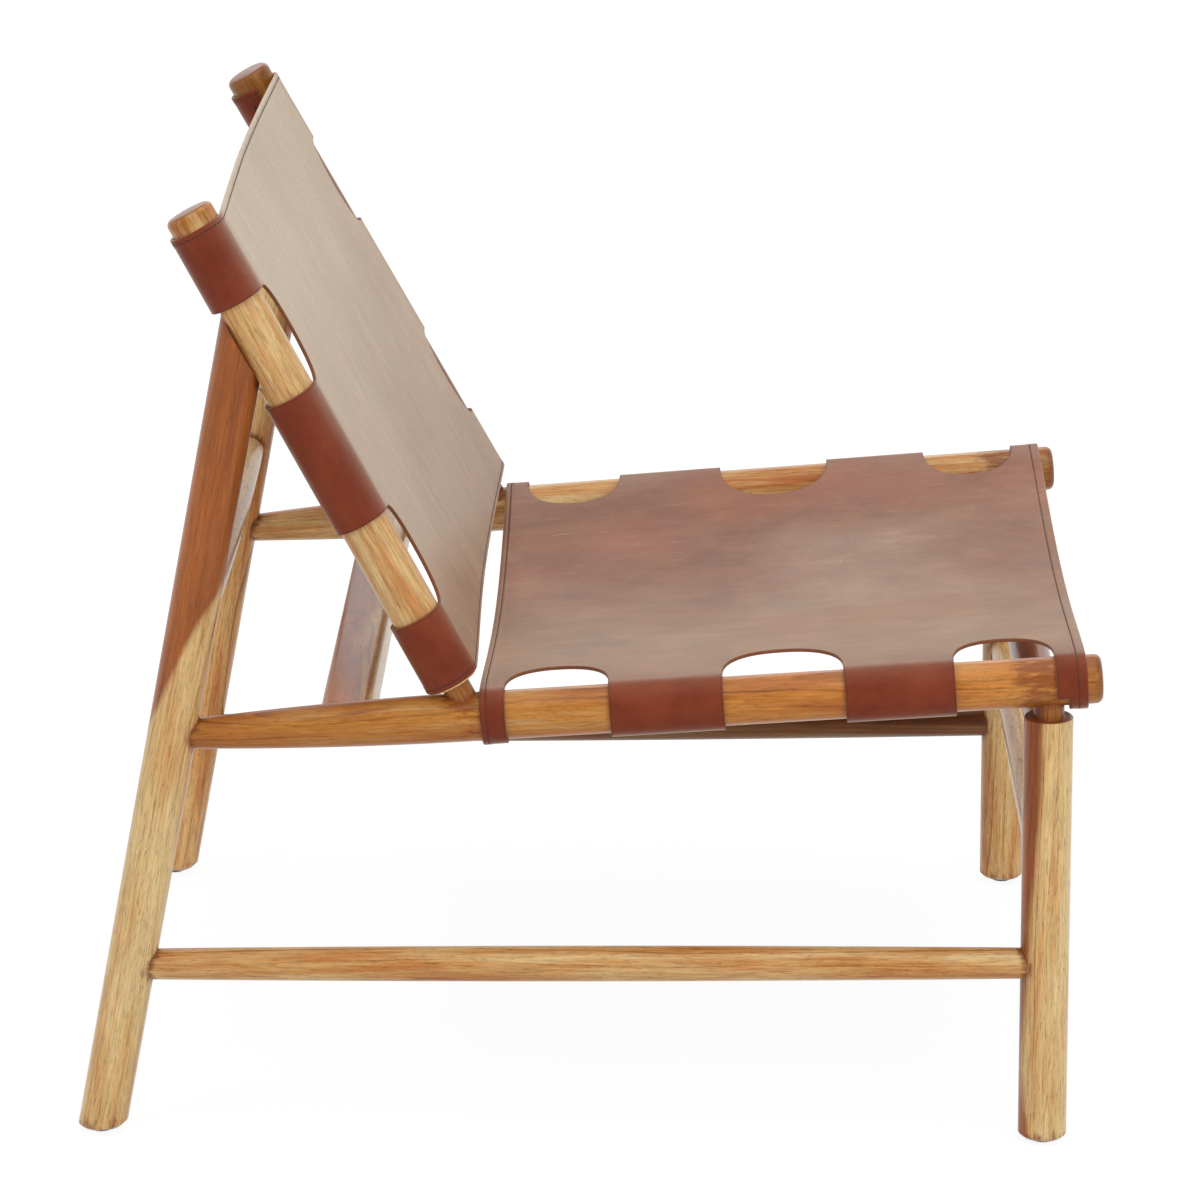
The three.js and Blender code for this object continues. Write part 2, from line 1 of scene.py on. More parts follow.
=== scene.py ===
"""A low lounge chair, dressed for its portrait: turned wooden side frames under a satin lacquer, and a
seat and a back of brown saddle leather, hemmed, stitched and wrapped round the rails."""

import math
from dataclasses import dataclass

import bpy
import numpy as np
from mathutils import Matrix, Vector
from mathutils.kdtree import KDTree


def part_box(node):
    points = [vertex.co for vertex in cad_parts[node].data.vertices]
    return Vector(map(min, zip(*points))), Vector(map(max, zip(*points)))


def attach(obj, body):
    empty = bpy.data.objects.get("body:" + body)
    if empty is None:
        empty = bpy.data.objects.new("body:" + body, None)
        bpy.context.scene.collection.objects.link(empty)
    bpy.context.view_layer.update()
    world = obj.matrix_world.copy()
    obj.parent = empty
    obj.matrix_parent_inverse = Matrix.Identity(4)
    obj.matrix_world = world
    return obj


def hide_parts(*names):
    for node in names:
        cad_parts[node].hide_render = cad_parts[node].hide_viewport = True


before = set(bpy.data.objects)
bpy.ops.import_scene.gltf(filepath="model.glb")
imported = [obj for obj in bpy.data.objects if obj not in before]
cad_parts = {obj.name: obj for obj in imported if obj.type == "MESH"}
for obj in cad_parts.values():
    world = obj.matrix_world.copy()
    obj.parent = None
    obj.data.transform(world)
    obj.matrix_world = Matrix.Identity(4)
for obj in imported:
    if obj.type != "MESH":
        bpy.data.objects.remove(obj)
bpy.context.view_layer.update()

MM = 0.001
SIDES = {"right": -1, "left": 1}
ACROSS = np.array((0, 1, 0))
UPRIGHT = (0, 0, 1)

# Layout of a side frame, in millimetres and degrees, with the same values as the solids.
FOOT_SPACING = 570  # between the middles of the left and right feet
FOOT_SPREAD = 743  # from the middle of the rear foot to the middle of the front foot
REAR_LEG_LEAN_IN = 2.3  # from upright, towards the other rear leg
FRONT_LEG_LEAN = 0.9  # from upright, backwards
POST_LEAN = 28.7  # from upright, backwards
RAIL_SLOPE = 4.7  # how the seat rail falls towards the back
RAIL_HEIGHT = 380.6  # axis of the seat rail where it crosses the front leg
RAIL_OVERHANG = 40.5  # seat rail past the axis of the front leg
POST_SETBACK = 484  # along the seat rail, from its front end to the axis of the post
POST_LENGTH = 448  # from the axis of the seat rail to the top of the post

# Turned pieces.
DIAMETER = 38  # legs, seat rails and posts
RADIUS = DIAMETER / 2
RAIL_END_DIAMETER = 23.5  # where the seat rail enters the rear leg
RAIL_TAPER_SETBACK = 480  # along the seat rail, from its front end to the start of the taper
RAIL_END_ROUND = 6
RAIL_DOME = 0.8
POST_NECK_DIAMETER = 22
POST_SHOULDER = 31  # from the axis of the seat rail up to the shoulder of the post
POST_END_ROUND = 5
POST_DOME = 1.0
LEG_NECK_DIAMETER = 24
LEG_SHOULDER_GAP = 9  # bare neck between the front leg and the seat rail
FOOT_CHAMFER = 3
STRETCHER_DIAMETER = 28  # in the middle
STRETCHER_END_DIAMETER = 24.4
CROSS_RAIL_DIAMETER = 32
CROSS_RAIL_END_DIAMETER = 27
SOCKET_DEPTH = 15  # how far a turned end goes into the piece that holds it
NECK_DEPTH = 21  # how far a neck goes into the seat rail
JOINT_CLEARANCE = 0.3
LEG_END_CLEARANCE = 0.2  # between the end of the rear leg and the flat on the post
FLAT_DEPTH = 5  # how deep the back of the post is planed where the rear leg butts on it
OVERRUN = 10  # past a face that a cut goes through
POINT = 0.05  # a profile that ends on its axis stops at this radius

# Places of the pieces between the legs, each to its axis.
SIDE_STRETCHER_FRONT_HEIGHT = 148.5
SIDE_STRETCHER_REAR_HEIGHT = 137
FRONT_STRETCHER_HEIGHT = 221
FRONT_CROSS_RAIL_HEIGHT = 328
BACK_CROSS_RAIL_DROP = 237  # along the rear leg, below its joint with the post

# The flat cross rail between the seat rails.
BOARD_WIDTH = 40
BOARD_THICKNESS = 28
BOARD_EDGE_ROUND = 6
BOARD_PLACE_SHARE = 0.422  # of the way along the seat rail from the post to the rear leg
BOARD_DROP = 1  # middle of the board below the axis of the seat rail
BOARD_HOUSING = 9  # how far the board is let into each seat rail
BOARD_STEPS = 140

# Glides under the feet.
GLIDE_RADIUS = 9.1
GLIDE_EDGE = 0.9
GLIDE_HEIGHT = 3.5
GLIDE_STEM_RADIUS = 2.5
GLIDE_STEM_LENGTH = 12

# Leather.
THICKNESS = 2.8
INNER = RADIUS + JOINT_CLEARANCE  # radius of the inner face round a rail
MIDDLE = INNER + THICKNESS / 2
WRAP = math.radians(280)  # how far a tab goes round its rail
NOTCH_WRAP = math.radians(112)  # the same where the front tab is cut short beside the neck of the leg
FOLD = 1.2  # how far the folded edge rolls out
CUT_ROUND = 0.5  # how far a cut edge is rounded off
SEAT_SETBACK = 12  # from the front end of the seat rail to the edge of the seat
NECK_GAP = 1.5  # between the front tab, where it goes under the rail, and the neck of the leg
BACK_SETBACK = 13  # from the top of the post to the edge of the back
BACK_TOP_TAB = 64
BACK_CUTS = (82, 84)
JOINT_PLACE_SHARE = 0.176  # where the rear leg meets the post, down the upper cut-out
JOINT_SETBACK = BACK_SETBACK + BACK_TOP_TAB + BACK_CUTS[0] * JOINT_PLACE_SHARE


# Lines of the frame.


class Line:
    """The axis of a straight piece: where it starts, and which way it runs."""

    def __init__(self, origin, way):
        self.origin = np.array(origin, float)
        self.way = np.array(way, float) / np.linalg.norm(way)

    def at(self, distance):
        return self.origin + self.way * distance

    def at_height(self, height):
        return self.at((height - self.origin[2]) / self.way[2])

    def crossing(self, other):
        """The distance along this line to where it crosses the other, seen from the side."""
        gap, a, b = other.origin - self.origin, self.way, other.way
        return (gap[0] * b[2] - gap[2] * b[0]) / (a[0] * b[2] - a[2] * b[0])

    def square(self):
        """Two directions square to the line, the first one as level as it can be."""
        first = np.cross(self.way, UPRIGHT if abs(self.way[2]) < 0.9 else (1, 0, 0))
        first /= np.linalg.norm(first)
        return first, np.cross(self.way, first)


def between(start, end):
    return Line(start, np.array(end, float) - np.array(start, float))


def leaning(origin, forwards, inwards=0):
    """A line from a point, leaning by degrees from upright."""
    forward = math.radians(forwards)
    inward = -math.copysign(math.radians(inwards), origin[1])
    level = math.cos(inward)
    return Line(origin, (math.sin(forward) * level, math.sin(inward), math.cos(forward) * level))


def tilted(degrees):
    """A direction in the plane of a side view, turned up from the front."""
    turn = math.radians(degrees)
    return np.array((math.cos(turn), 0, math.sin(turn)))


# The chair's middle is the frame's origin, so where its rear feet stand is taken from the frame.
REAR_FOOT = sum(corner[0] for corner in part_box("foot_glide_rear_left")) / 2 / MM


def rounded(line):
    """The line to a thousandth of a millimetre, from where the rear feet stand."""
    foot = np.array((REAR_FOOT, 0, 0))
    return Line(np.round(line.origin - foot, 3) + foot, np.round(line.way, 6))


def side_lines(sign):
    """The axes of a seat rail, post, rear leg and front leg. The rail and the post lean in as far as the
    rear leg makes them, so that all the axes meet."""
    foot = np.array((REAR_FOOT, sign * FOOT_SPACING / 2, 0))
    front = leaning(foot + (FOOT_SPREAD, 0, 0), -FRONT_LEG_LEAN)
    corner = front.at_height(RAIL_HEIGHT)
    slope = leaning(corner, -90 - RAIL_SLOPE)
    rake = leaning(slope.at(POST_SETBACK - RAIL_OVERHANG), -POST_LEAN)
    joint = rake.at(POST_LENGTH - JOINT_SETBACK) - foot
    rear = leaning(foot, math.degrees(math.atan2(joint[0], joint[2])), REAR_LEG_LEAN_IN)
    rail = between(corner, rear.at(rear.crossing(slope)))
    rail = Line(rail.at(-RAIL_OVERHANG), rail.way)
    post = between(rail.at(POST_SETBACK), rear.at(rear.crossing(rake)))
    return [rounded(line) for line in (rail, post, rear, front)]


AXES = {side: side_lines(sign) for side, sign in SIDES.items()}
RAIL, POST, REAR_LEG, FRONT_LEG = ({side: AXES[side][k] for side in SIDES} for k in range(4))
RAIL_TO_REAR_LEG = RAIL["left"].crossing(REAR_LEG["left"])
JOINT_ANGLE = math.acos(float(REAR_LEG["left"].way @ POST["left"].way))
REAR_LEG_TO_FLAT = REAR_LEG["left"].crossing(POST["left"]) - (RADIUS - FLAT_DEPTH) / math.sin(JOINT_ANGLE)
REAR_LEG_TO_CROSS_RAIL = REAR_LEG_TO_FLAT - BACK_CROSS_RAIL_DROP


# Meshes.


def new_object(name, mesh):
    made = bpy.data.objects.new(name, mesh)
    bpy.context.scene.collection.objects.link(made)
    return made


def mesh_object(name, points, faces):
    """A mesh object from points in millimetres."""
    mesh = bpy.data.meshes.new(name)
    mesh.from_pydata((np.asarray(points) * MM).tolist(), [], [list(map(int, f)) for f in faces])
    mesh.validate()
    return new_object(name, mesh)


def vectors_of(items, field):
    """A vector of each vertex or normal, as an array."""
    flat = np.empty(len(items) * 3)
    items.foreach_get(field, flat)
    return flat.reshape(-1, 3)


def give(made, name, values):
    """Stores a number or a vector for each vertex."""
    values = np.asarray(values, float)
    kind, field = ("FLOAT_VECTOR", "vector") if values.ndim == 2 else ("FLOAT", "value")
    made.data.attributes.new(name, kind, "POINT").data.foreach_set(field, values.ravel())


def smooth(made):
    made.data.shade_smooth()
    made.data.set_sharp_from_angle(angle=math.radians(35))


def baked_mesh(made):
    """A copy of the object's mesh with its modifiers made part of it."""
    depsgraph = bpy.context.evaluated_depsgraph_get()
    return bpy.data.meshes.new_from_object(made.evaluated_get(depsgraph))


def carved(made, cutters):
    """The object with the cutters taken out of it."""
    for cutter in cutters:
        cut = made.modifiers.new("Carve", "BOOLEAN")
        cut.object, cut.operation, cut.solver = cutter, "DIFFERENCE", "EXACT"
    mesh = baked_mesh(made)
    mesh.name = made.name
    made.modifiers.clear()
    made.data = mesh
    for cutter in cutters:
        bpy.data.objects.remove(cutter)
    return made


def lofted(name, points, around):
    """A closed solid through rings of as many points each."""
    faces = []
    for a in range(0, len(points) - around, around):
        for j in range(around):
            k = (j + 1) % around
            faces.append((a + j, a + k, a + around + k, a + around + j))
    faces.append(list(range(around))[::-1])
    faces.append(list(range(len(points) - around, len(points))))
    return mesh_object(name, points, faces)


def turned(name, line, profile, step=2.0, around=72):
    """A turned solid from (radius, distance) pairs along a line, in rings no further apart than a step."""
    first, second = line.square()
    angles = np.linspace(0, 2 * math.pi, around, endpoint=False)
    circle = np.cos(angles)[:, None] * first + np.sin(angles)[:, None] * second
    rings = [profile[0]]
    for (r0, d0), (r1, d1) in zip(profile, profile[1:]):
        count = max(1, math.ceil(math.hypot(r1 - r0, d1 - d0) / step))
        rings += [(r0 + (r1 - r0) * i / count, d0 + (d1 - d0) * i / count) for i in range(1, count + 1)]
    return lofted(name, np.concatenate([line.at(d) + circle * r for r, d in rings]), around)


def block(name, origin, axes, low, high):
    """A box cutter in a frame of three directions."""
    corners = [(x, y, z) for x in (low[0], high[0]) for y in (low[1], high[1]) for z in (low[2], high[2])]
    points = [origin + np.array(c) @ np.array(axes, float) for c in corners]
    faces = [(0, 1, 3, 2), (4, 6, 7, 5), (0, 4, 5, 1), (2, 3, 7, 6), (0, 2, 6, 4), (1, 5, 7, 3)]
    return mesh_object(name, points, faces)


def domed(radius, edge, dome):
    """A turned end: a low dome that rolls over its edge into the side."""
    flat = radius - edge
    face = [flat * i / 4 for i in range(4)]
    profile = [(max(r, POINT), -dome * (1 - (r / flat) ** 2)) for r in face]
    turns = np.radians(np.linspace(4, 90, 9))
    return profile + [(flat + edge * math.sin(a), edge - edge * math.cos(a)) for a in turns]


def shouldered(shoulder, end, neck_diameter, edge, turns, fillet):
    """The end of a turned piece's profile: a rounded shoulder, and a bare neck up to the end."""
    neck = neck_diameter / 2
    turns = np.radians(turns)
    profile = [(RADIUS - edge + edge * math.cos(a), shoulder - edge + edge * math.sin(a)) for a in turns]
    return profile + [(neck + fillet, shoulder), (neck, shoulder + fillet), (neck, end)]


def barrel(name, line, length, diameter, end_diameter):
    """A bar between two sockets, thickest in the middle."""
    profile = [(end_diameter / 2, 0)]
    for share in np.linspace(0, 1, 33):
        thinning = (diameter - end_diameter) * (2 * share - 1) ** 2
        profile.append(((diameter - thinning) / 2, SOCKET_DEPTH + (length - 2 * SOCKET_DEPTH) * share))
    return turned(name, line, profile + [(end_diameter / 2, length)])


# Node trees.


def srgb(*rgb):
    return tuple(((c / 255 + 0.055) / 1.055) ** 2.4 if c > 10 else c / 255 / 12.92 for c in rgb) + (1.0,)


class Tree:
    """Places nodes in a node tree and joins them. An input is named with underscores for spaces, or by its
    number after an underscore."""

    def __init__(self, tree):
        self.tree, self.column = tree, 0

    def node(self, kind, settings=(), **inputs):
        made = self.tree.nodes.new(kind)
        self.column += 1
        made.location = (self.column * 180, -(self.column % 5) * 160)
        for key, value in dict(settings).items():
            setattr(made, key, value)
        self.join_all(made, inputs)
        return made

    def join_all(self, made, inputs):
        for key, value in inputs.items():
            self.join(value, made, key)

    def join(self, value, made, key):
        key = int(key[1:]) if key[0] == "_" and key[1:].isdigit() else key.replace("_", " ")
        socket = made.inputs[key]
        if isinstance(value, bpy.types.NodeSocket):
            self.tree.links.new(value, socket)
        else:
            socket.default_value = value

    def maths(self, operation, first, second=0.0, clamp=False):
        settings = {"operation": operation, "use_clamp": clamp}
        return self.node("ShaderNodeMath", settings, _0=first, _1=second).outputs[0]

    def times(self, first, second):
        return self.maths("MULTIPLY", first, second)

    def plus(self, first, second):
        return self.maths("ADD", first, second)

    def minus(self, first, second):
        return self.maths("SUBTRACT", first, second)

    def vector(self, operation, first, second=(0, 0, 0)):
        made = self.node("ShaderNodeVectorMath", {"operation": operation}, _0=first, _1=second)
        return made.outputs["Value" if operation == "LENGTH" else "Vector"]

    def scaled(self, where, scales):
        return self.vector("MULTIPLY", where, scales)

    def combined(self, x=0.0, y=0.0, z=0.0):
        return self.node("ShaderNodeCombineXYZ", X=x, Y=y, Z=z).outputs[0]

    def noise(self, vector, scale, detail=4.0, roughness=0.5, distortion=0.0):
        inputs = {"Scale": scale, "Detail": detail, "Roughness": roughness, "Distortion": distortion}
        return self.node("ShaderNodeTexNoise", Vector=vector, **inputs).outputs["Fac"]

    def span(self, value, low, high, start=0.0, end=1.0, soft=True):
        """The value, from low to high, spread over start to end."""
        settings = {"interpolation_type": "SMOOTHSTEP" if soft else "LINEAR"}
        ends = {"From Min": low, "From Max": high, "To Min": start, "To Max": end}
        return self.node("ShaderNodeMapRange", settings, Value=value, **ends).outputs["Result"]

    def mix(self, share, first, second, blend="MIX"):
        settings = {"data_type": "RGBA", "blend_type": blend, "clamp_factor": True}
        return self.node("ShaderNodeMix", settings, _0=share, _6=first, _7=second).outputs[2]

    def attribute(self, name, output="Vector"):
        return self.node("ShaderNodeAttribute", {"attribute_name": name}).outputs[output]

    def coordinates(self, kind="Object"):
        return self.node("ShaderNodeTexCoord").outputs[kind]


def node_group(kind, name, inputs, outputs):
    """An empty group with named inputs and outputs, its tree, what it is given, and its end."""
    group = bpy.data.node_groups.new(name, kind + "NodeTree")
    for label, (socket_kind, value) in inputs.items():
        socket = group.interface.new_socket(label, in_out="INPUT", socket_type="NodeSocket" + socket_kind)
        if value is not None:
            socket.default_value = value
    for label, socket_kind in outputs.items():
        group.interface.new_socket(label, in_out="OUTPUT", socket_type="NodeSocket" + socket_kind)
    t = Tree(group)
    return group, t, t.node("NodeGroupInput").outputs, t.node("NodeGroupOutput")


# Shader groups.


def timber_group():
    """Growth rings, streaks, fibres and pores of a solid piece of wood that grew along X."""
    inputs = {
        "Coordinates": ("Vector", None),
        "Ring Width": ("Float", 0.0040),
        "Heartwood Radius": ("Float", 0.1),
        "Waviness": ("Float", 0.014),
    }
    outputs = ("Rings", "Streaks", "Fibres", "Pores", "Heartwood", "Cloud", "Stain")
    group, t, given, made = node_group("Shader", "Timber", inputs, dict.fromkeys(outputs, "Float"))
    where = given["Coordinates"]

    def grain(along, across, detail, roughness):
        return t.noise(t.scaled(where, (along, across, across)), 1.0, detail, roughness)

    def off_middle(value, amount):
        return t.times(t.minus(value, 0.5), amount)

    wander = off_middle(grain(3.2, 15, 2.0, 0.4), given["Waviness"])
    flutter = off_middle(grain(20, 90, 3.0, 0.5), 0.0026)
    from_middle = t.vector("LENGTH", t.scaled(where, (0, 1, 1)))
    radius = t.plus(from_middle, t.plus(t.times(wander, 2.0), flutter))
    uneven = off_middle(t.noise(t.combined(radius), 60.0, 2.0), 0.009)
    count = t.maths("DIVIDE", t.plus(radius, uneven), given["Ring Width"])
    phase = t.maths("FRACT", count)
    late = t.times(t.span(phase, 0.58, 0.93), t.span(phase, 0.93, 1.0, 1.0, 0.0))
    year = t.node("ShaderNodeTexWhiteNoise", Vector=t.combined(t.maths("FLOOR", count))).outputs["Value"]
    cloud = grain(5, 34, 5.0, 0.55)
    ring = t.times(late, t.span(t.maths("POWER", year, 1.7), 0, 1, 0.15, 1.0, False))
    ring = t.times(ring, t.span(cloud, 0.36, 0.6, 0.35, 1.0))
    long_pores = t.span(grain(130, 1150, 2.0, 0.5), 0.58, 0.68)
    pores = t.maths("MAXIMUM", long_pores, t.span(grain(60, 700, 2.0, 0.5), 0.6, 0.68))
    border = t.plus(given["Heartwood Radius"], t.plus(wander, t.times(flutter, 2.0)))
    results = {
        "Rings": ring,
        "Cloud": cloud,
        "Streaks": grain(7, 150, 6.0, 0.7),
        "Fibres": grain(34, 640, 5.0, 0.68),
        "Pores": t.times(pores, t.plus(0.45, t.times(ring, 0.55))),
        "Heartwood": t.span(t.minus(from_middle, border), 0.003, -0.003),
        "Stain": grain(60, 210, 4.0, 0.65),
    }
    t.join_all(made, results)
    return group


def hide_group():
    """Mottling, rubbed streaks, pores and fine creases of a hide, on its own flat coordinates."""
    inputs = {
        "Coordinates": ("Vector", None),
        "Pore Scale": ("Float", 900.0),
        "Streak Length": ("Float", 12.0),
    }
    outputs = ("Mottle", "Blush", "Dust", "Streaks", "Scratches", "Specks", "Pores", "Creases")
    group, t, given, made = node_group("Shader", "Hide", inputs, dict.fromkeys(outputs, "Float"))
    where = given["Coordinates"]

    wide = t.scaled(where, (0.75, 0.8, 1.0))

    def patchy(offset, *noise):
        return t.noise(t.vector("ADD", wide, offset), *noise)

    def veins(vector, width, **inputs):
        cells = t.node("ShaderNodeTexVoronoi", {"feature": "DISTANCE_TO_EDGE"}, Vector=vector, **inputs)
        return t.span(cells.outputs["Distance"], 0.0, width)

    along = t.combined(given["Streak Length"], 70.0, 1.0)
    slanted = t.node("ShaderNodeVectorRotate", {"rotation_type": "Z_AXIS"}, Vector=where, Angle=0.12)
    slanted = slanted.outputs[0]
    warp = t.node("ShaderNodeTexNoise", Vector=where, Scale=55.0).outputs["Color"]
    warp = t.node("ShaderNodeVectorMath", {"operation": "SCALE"}, _0=warp, Scale=0.012).outputs["Vector"]
    results = {
        "Mottle": t.noise(wide, 22.0, 6.0, 0.66, 0.3),
        "Blush": patchy((0.9, 0.2, 0), 6.5, 4.0, 0.5, 0.2),
        # Patches of duller hide, which also spread the painted sheen.
        "Dust": patchy((3.1, 1.7, 0), 8.0, 6.0, 0.62, 0.2),
        "Streaks": t.noise(t.scaled(where, along), 1.0, 6.0, 0.72),
        "Scratches": t.noise(t.scaled(slanted, (22.0, 420.0, 1.0)), 1.0, 3.0, 0.6),
        "Specks": t.noise(t.scaled(where, (1.0, 0.6, 1.0)), 330.0, 4.0, 0.75),
        "Pores": veins(where, 0.16, Scale=given["Pore Scale"]),
        "Creases": veins(t.vector("ADD", where, warp), 0.07, Scale=120.0),
    }
    t.join_all(made, results)
    return group


TIMBER, HIDE = timber_group(), hide_group()


# Materials.


def finish(name, **constants):
    """A new material: itself, its tree and its shader, with the values that are the same all over."""
    material = bpy.data.materials.new(name)
    material.use_nodes = True
    t = Tree(material.node_tree)
    shader = next(n for n in material.node_tree.nodes if n.type == "BSDF_PRINCIPLED")
    t.join_all(shader, constants)
    return material, t, shader


def bumped(t, shader, height, distance, strength):
    made = t.node("ShaderNodeBump", Height=height, Distance=distance, Strength=strength)
    t.join(made.outputs["Normal"], shader, "Normal")


# Colours of the wood, in pairs between which it varies.
SAPWOOD = srgb(218, 190, 136), srgb(206, 167, 108)
HONEY_WOOD = srgb(207, 138, 58), srgb(183, 100, 32)
HEARTWOOD = srgb(168, 96, 42), srgb(136, 70, 28)
LATE_WOOD = srgb(164, 104, 46), srgb(96, 44, 14)
PORE, END_GRAIN, JOINT_STAIN = srgb(112, 62, 24), srgb(118, 62, 30), srgb(118, 54, 18)


def lacquered_wood():
    coat = {"Coat_Weight": 0.75, "Coat_Roughness": 0.22, "Coat_IOR": 1.3}
    material, t, shader = finish("Lacquered teak", Specular_IOR_Level=0.12, **coat)
    inputs = {"Coordinates": t.attribute("timber"), "Heartwood Radius": t.attribute("core", "Fac")}
    wood = t.node("ShaderNodeGroup", {"node_tree": TIMBER}, **inputs).outputs
    tone = t.node("ShaderNodeSeparateXYZ", Vector=t.attribute("tone")).outputs
    # The tone holds warmth, painted light and shade, and end grain.
    warmth, painted_light, end_grain = tone["X"], tone["Y"], tone["Z"]
    cloud = t.span(wood["Cloud"], 0.32, 0.68)
    streak = t.span(wood["Streaks"], 0.34, 0.66, -0.3, 0.3)
    patch = t.span(wood["Cloud"], 0.3, 0.7, -0.2, 0.2)
    warmth = t.maths("ADD", warmth, t.plus(streak, patch), clamp=True)
    body = t.mix(warmth, t.mix(cloud, *SAPWOOD), t.mix(cloud, *HONEY_WOOD))
    body = t.mix(wood["Heartwood"], body, t.mix(cloud, *HEARTWOOD))
    late = t.mix(t.maths("MAXIMUM", wood["Heartwood"], warmth), *LATE_WOOD)
    body = t.mix(t.times(wood["Rings"], 0.85), body, late)
    body = t.mix(t.span(wood["Streaks"], 0.56, 0.76, 0.0, 0.45), body, late)
    # The grey of the fibres is scaled by the painted light and shade of each piece.
    fibre = t.times(t.span(wood["Fibres"], 0.34, 0.68, 0.77, 1.15, False), painted_light)
    grey = t.node("ShaderNodeCombineColor", Red=fibre, Green=fibre, Blue=fibre).outputs[0]
    body = t.mix(1.0, body, grey, "MULTIPLY")
    body = t.mix(t.times(wood["Pores"], 0.78), body, PORE)
    body = t.mix(t.times(end_grain, 0.75), body, END_GRAIN)
    stain = t.plus(t.attribute("seam", "Fac"), t.span(wood["Stain"], 0.3, 0.7, -0.6, 0.6, False))
    body = t.mix(t.span(stain, 0.35, 1.2, 0.0, 0.78), body, JOINT_STAIN)
    t.join(body, shader, "Base_Color")
    t.join(t.span(wood["Fibres"], 0.3, 0.7, 0.4, 0.52, False), shader, "Roughness")
    bumped(t, shader, t.minus(t.times(wood["Fibres"], 0.5), t.times(wood["Pores"], 0.9)), 0.00022, 0.6)
    return material


# Colours of the leather: of its bands, of its panels and of what lies on both.
BAND = srgb(109, 45, 28), srgb(124, 57, 36)
PANEL = srgb(110, 59, 32), srgb(128, 75, 44)
# PANEL_PAINTED_SHEEN is a pale grey painted sheen, laid on the panels.
PANEL_BLUSH, PANEL_RED, PANEL_PAINTED_SHEEN = srgb(142, 68, 34), srgb(150, 70, 38), srgb(184, 167, 148)
DARK_STREAK, PALE_STREAK = srgb(66, 26, 14), (srgb(158, 96, 66), srgb(214, 202, 186))
SCRATCH, PALE_SPECK, DARK_SPECK = srgb(206, 184, 158), srgb(216, 204, 186), srgb(96, 66, 48)
CUT_EDGE_BURNISH_AND_SHADE = srgb(56, 24, 15)


def saddle_leather():
    gloss = {"IOR": 1.5, "Specular_IOR_Level": 0.06, "Specular_Tint": (1.0, 0.9, 0.74, 1.0)}
    coat = {"Coat_Weight": 0.7, "Coat_Roughness": 0.34, "Coat_IOR": 1.15}
    sheen = {"Sheen_Weight": 0.55, "Sheen_Roughness": 0.3, "Sheen_Tint": (1.0, 0.9, 0.62, 1.0)}
    material, t, shader = finish("Saddle leather", **gloss, **coat, **sheen)
    hide = t.node("ShaderNodeGroup", {"node_tree": HIDE}, Coordinates=t.attribute("hide")).outputs
    # Worn goes from 0 on the bands round the rails to 1 on the panel, which is duller and patchy.
    worn = t.span(t.attribute("worn", "Fac"), 0.0, 1.0)
    # Above 0 the mask paints a pale grey sheen on the hide, and below 0 it marks where the hide is redder.
    sheen_and_red = t.plus(t.attribute("sheen_and_red", "Fac"), t.span(hide["Dust"], 0.3, 0.7, -0.18, 0.18, False))
    panel = t.mix(t.span(hide["Mottle"], 0.35, 0.65), *PANEL)
    panel = t.mix(t.span(hide["Blush"], 0.5, 0.68, 0.0, 0.5), panel, PANEL_BLUSH)
    panel = t.mix(t.span(sheen_and_red, -0.1, -0.6, 0.0, 0.7), panel, PANEL_RED)
    panel = t.mix(t.span(sheen_and_red, 0.0, 1.0, 0.0, 1.0, False), panel, PANEL_PAINTED_SHEEN)
    body = t.mix(worn, t.mix(t.span(hide["Mottle"], 0.32, 0.68), *BAND), panel)
    body = t.mix(t.span(hide["Streaks"], 0.54, 0.74, 0.0, 0.22), body, DARK_STREAK)
    pale_streak = t.mix(t.times(t.span(sheen_and_red, 0.0, 0.5), worn), *PALE_STREAK)
    streak_share = t.times(t.span(hide["Streaks"], 0.46, 0.3), t.span(worn, 0.0, 1.0, 0.1, 0.3))
    body = t.mix(streak_share, body, pale_streak)
    scratch = t.times(t.span(hide["Scratches"], 0.64, 0.72), worn)
    body = t.mix(t.times(scratch, 0.26), body, SCRATCH)
    rubbed = t.times(t.span(sheen_and_red, -0.1, 0.75, 0.04, 0.5), worn)
    body = t.mix(t.times(t.span(hide["Specks"], 0.56, 0.7), rubbed), body, PALE_SPECK)
    dark_speck = t.times(t.span(hide["Specks"], 0.43, 0.33), rubbed)
    dark_line = t.times(t.span(hide["Streaks"], 0.4, 0.3), t.times(rubbed, 0.6))
    body = t.mix(t.plus(dark_speck, dark_line), body, DARK_SPECK)
    # Beside each cut edge the face is darker: partly the burnished edge and partly painted shade.
    rim = t.span(t.attribute("rim", "Fac"), 0.0016, 0.0004)
    t.join(t.mix(t.times(rim, 0.38), body, CUT_EDGE_BURNISH_AND_SHADE), shader, "Base_Color")
    streaky = t.span(hide["Streaks"], 0.35, 0.65, -0.03, 0.03)
    t.join(t.plus(t.span(hide["Dust"], 0.3, 0.7, 0.38, 0.54), streaky), shader, "Roughness")
    relief = t.plus(t.times(hide["Pores"], 0.35), t.times(hide["Streaks"], 0.7))
    bumped(t, shader, t.plus(relief, t.times(hide["Creases"], 0.25)), 0.0002, 0.5)
    return material


def cut_edge():
    material, t, shader = finish("Burnished leather edge", Roughness=0.6, Specular_IOR_Level=0.15)
    layers = t.noise(t.scaled(t.attribute("hide"), (300, 300, 2200)), 1.0, 3.0)
    t.join(t.mix(layers, srgb(108, 62, 40), srgb(146, 94, 66)), shader, "Base_Color")
    bumped(t, shader, layers, 0.0002, 0.5)
    return material


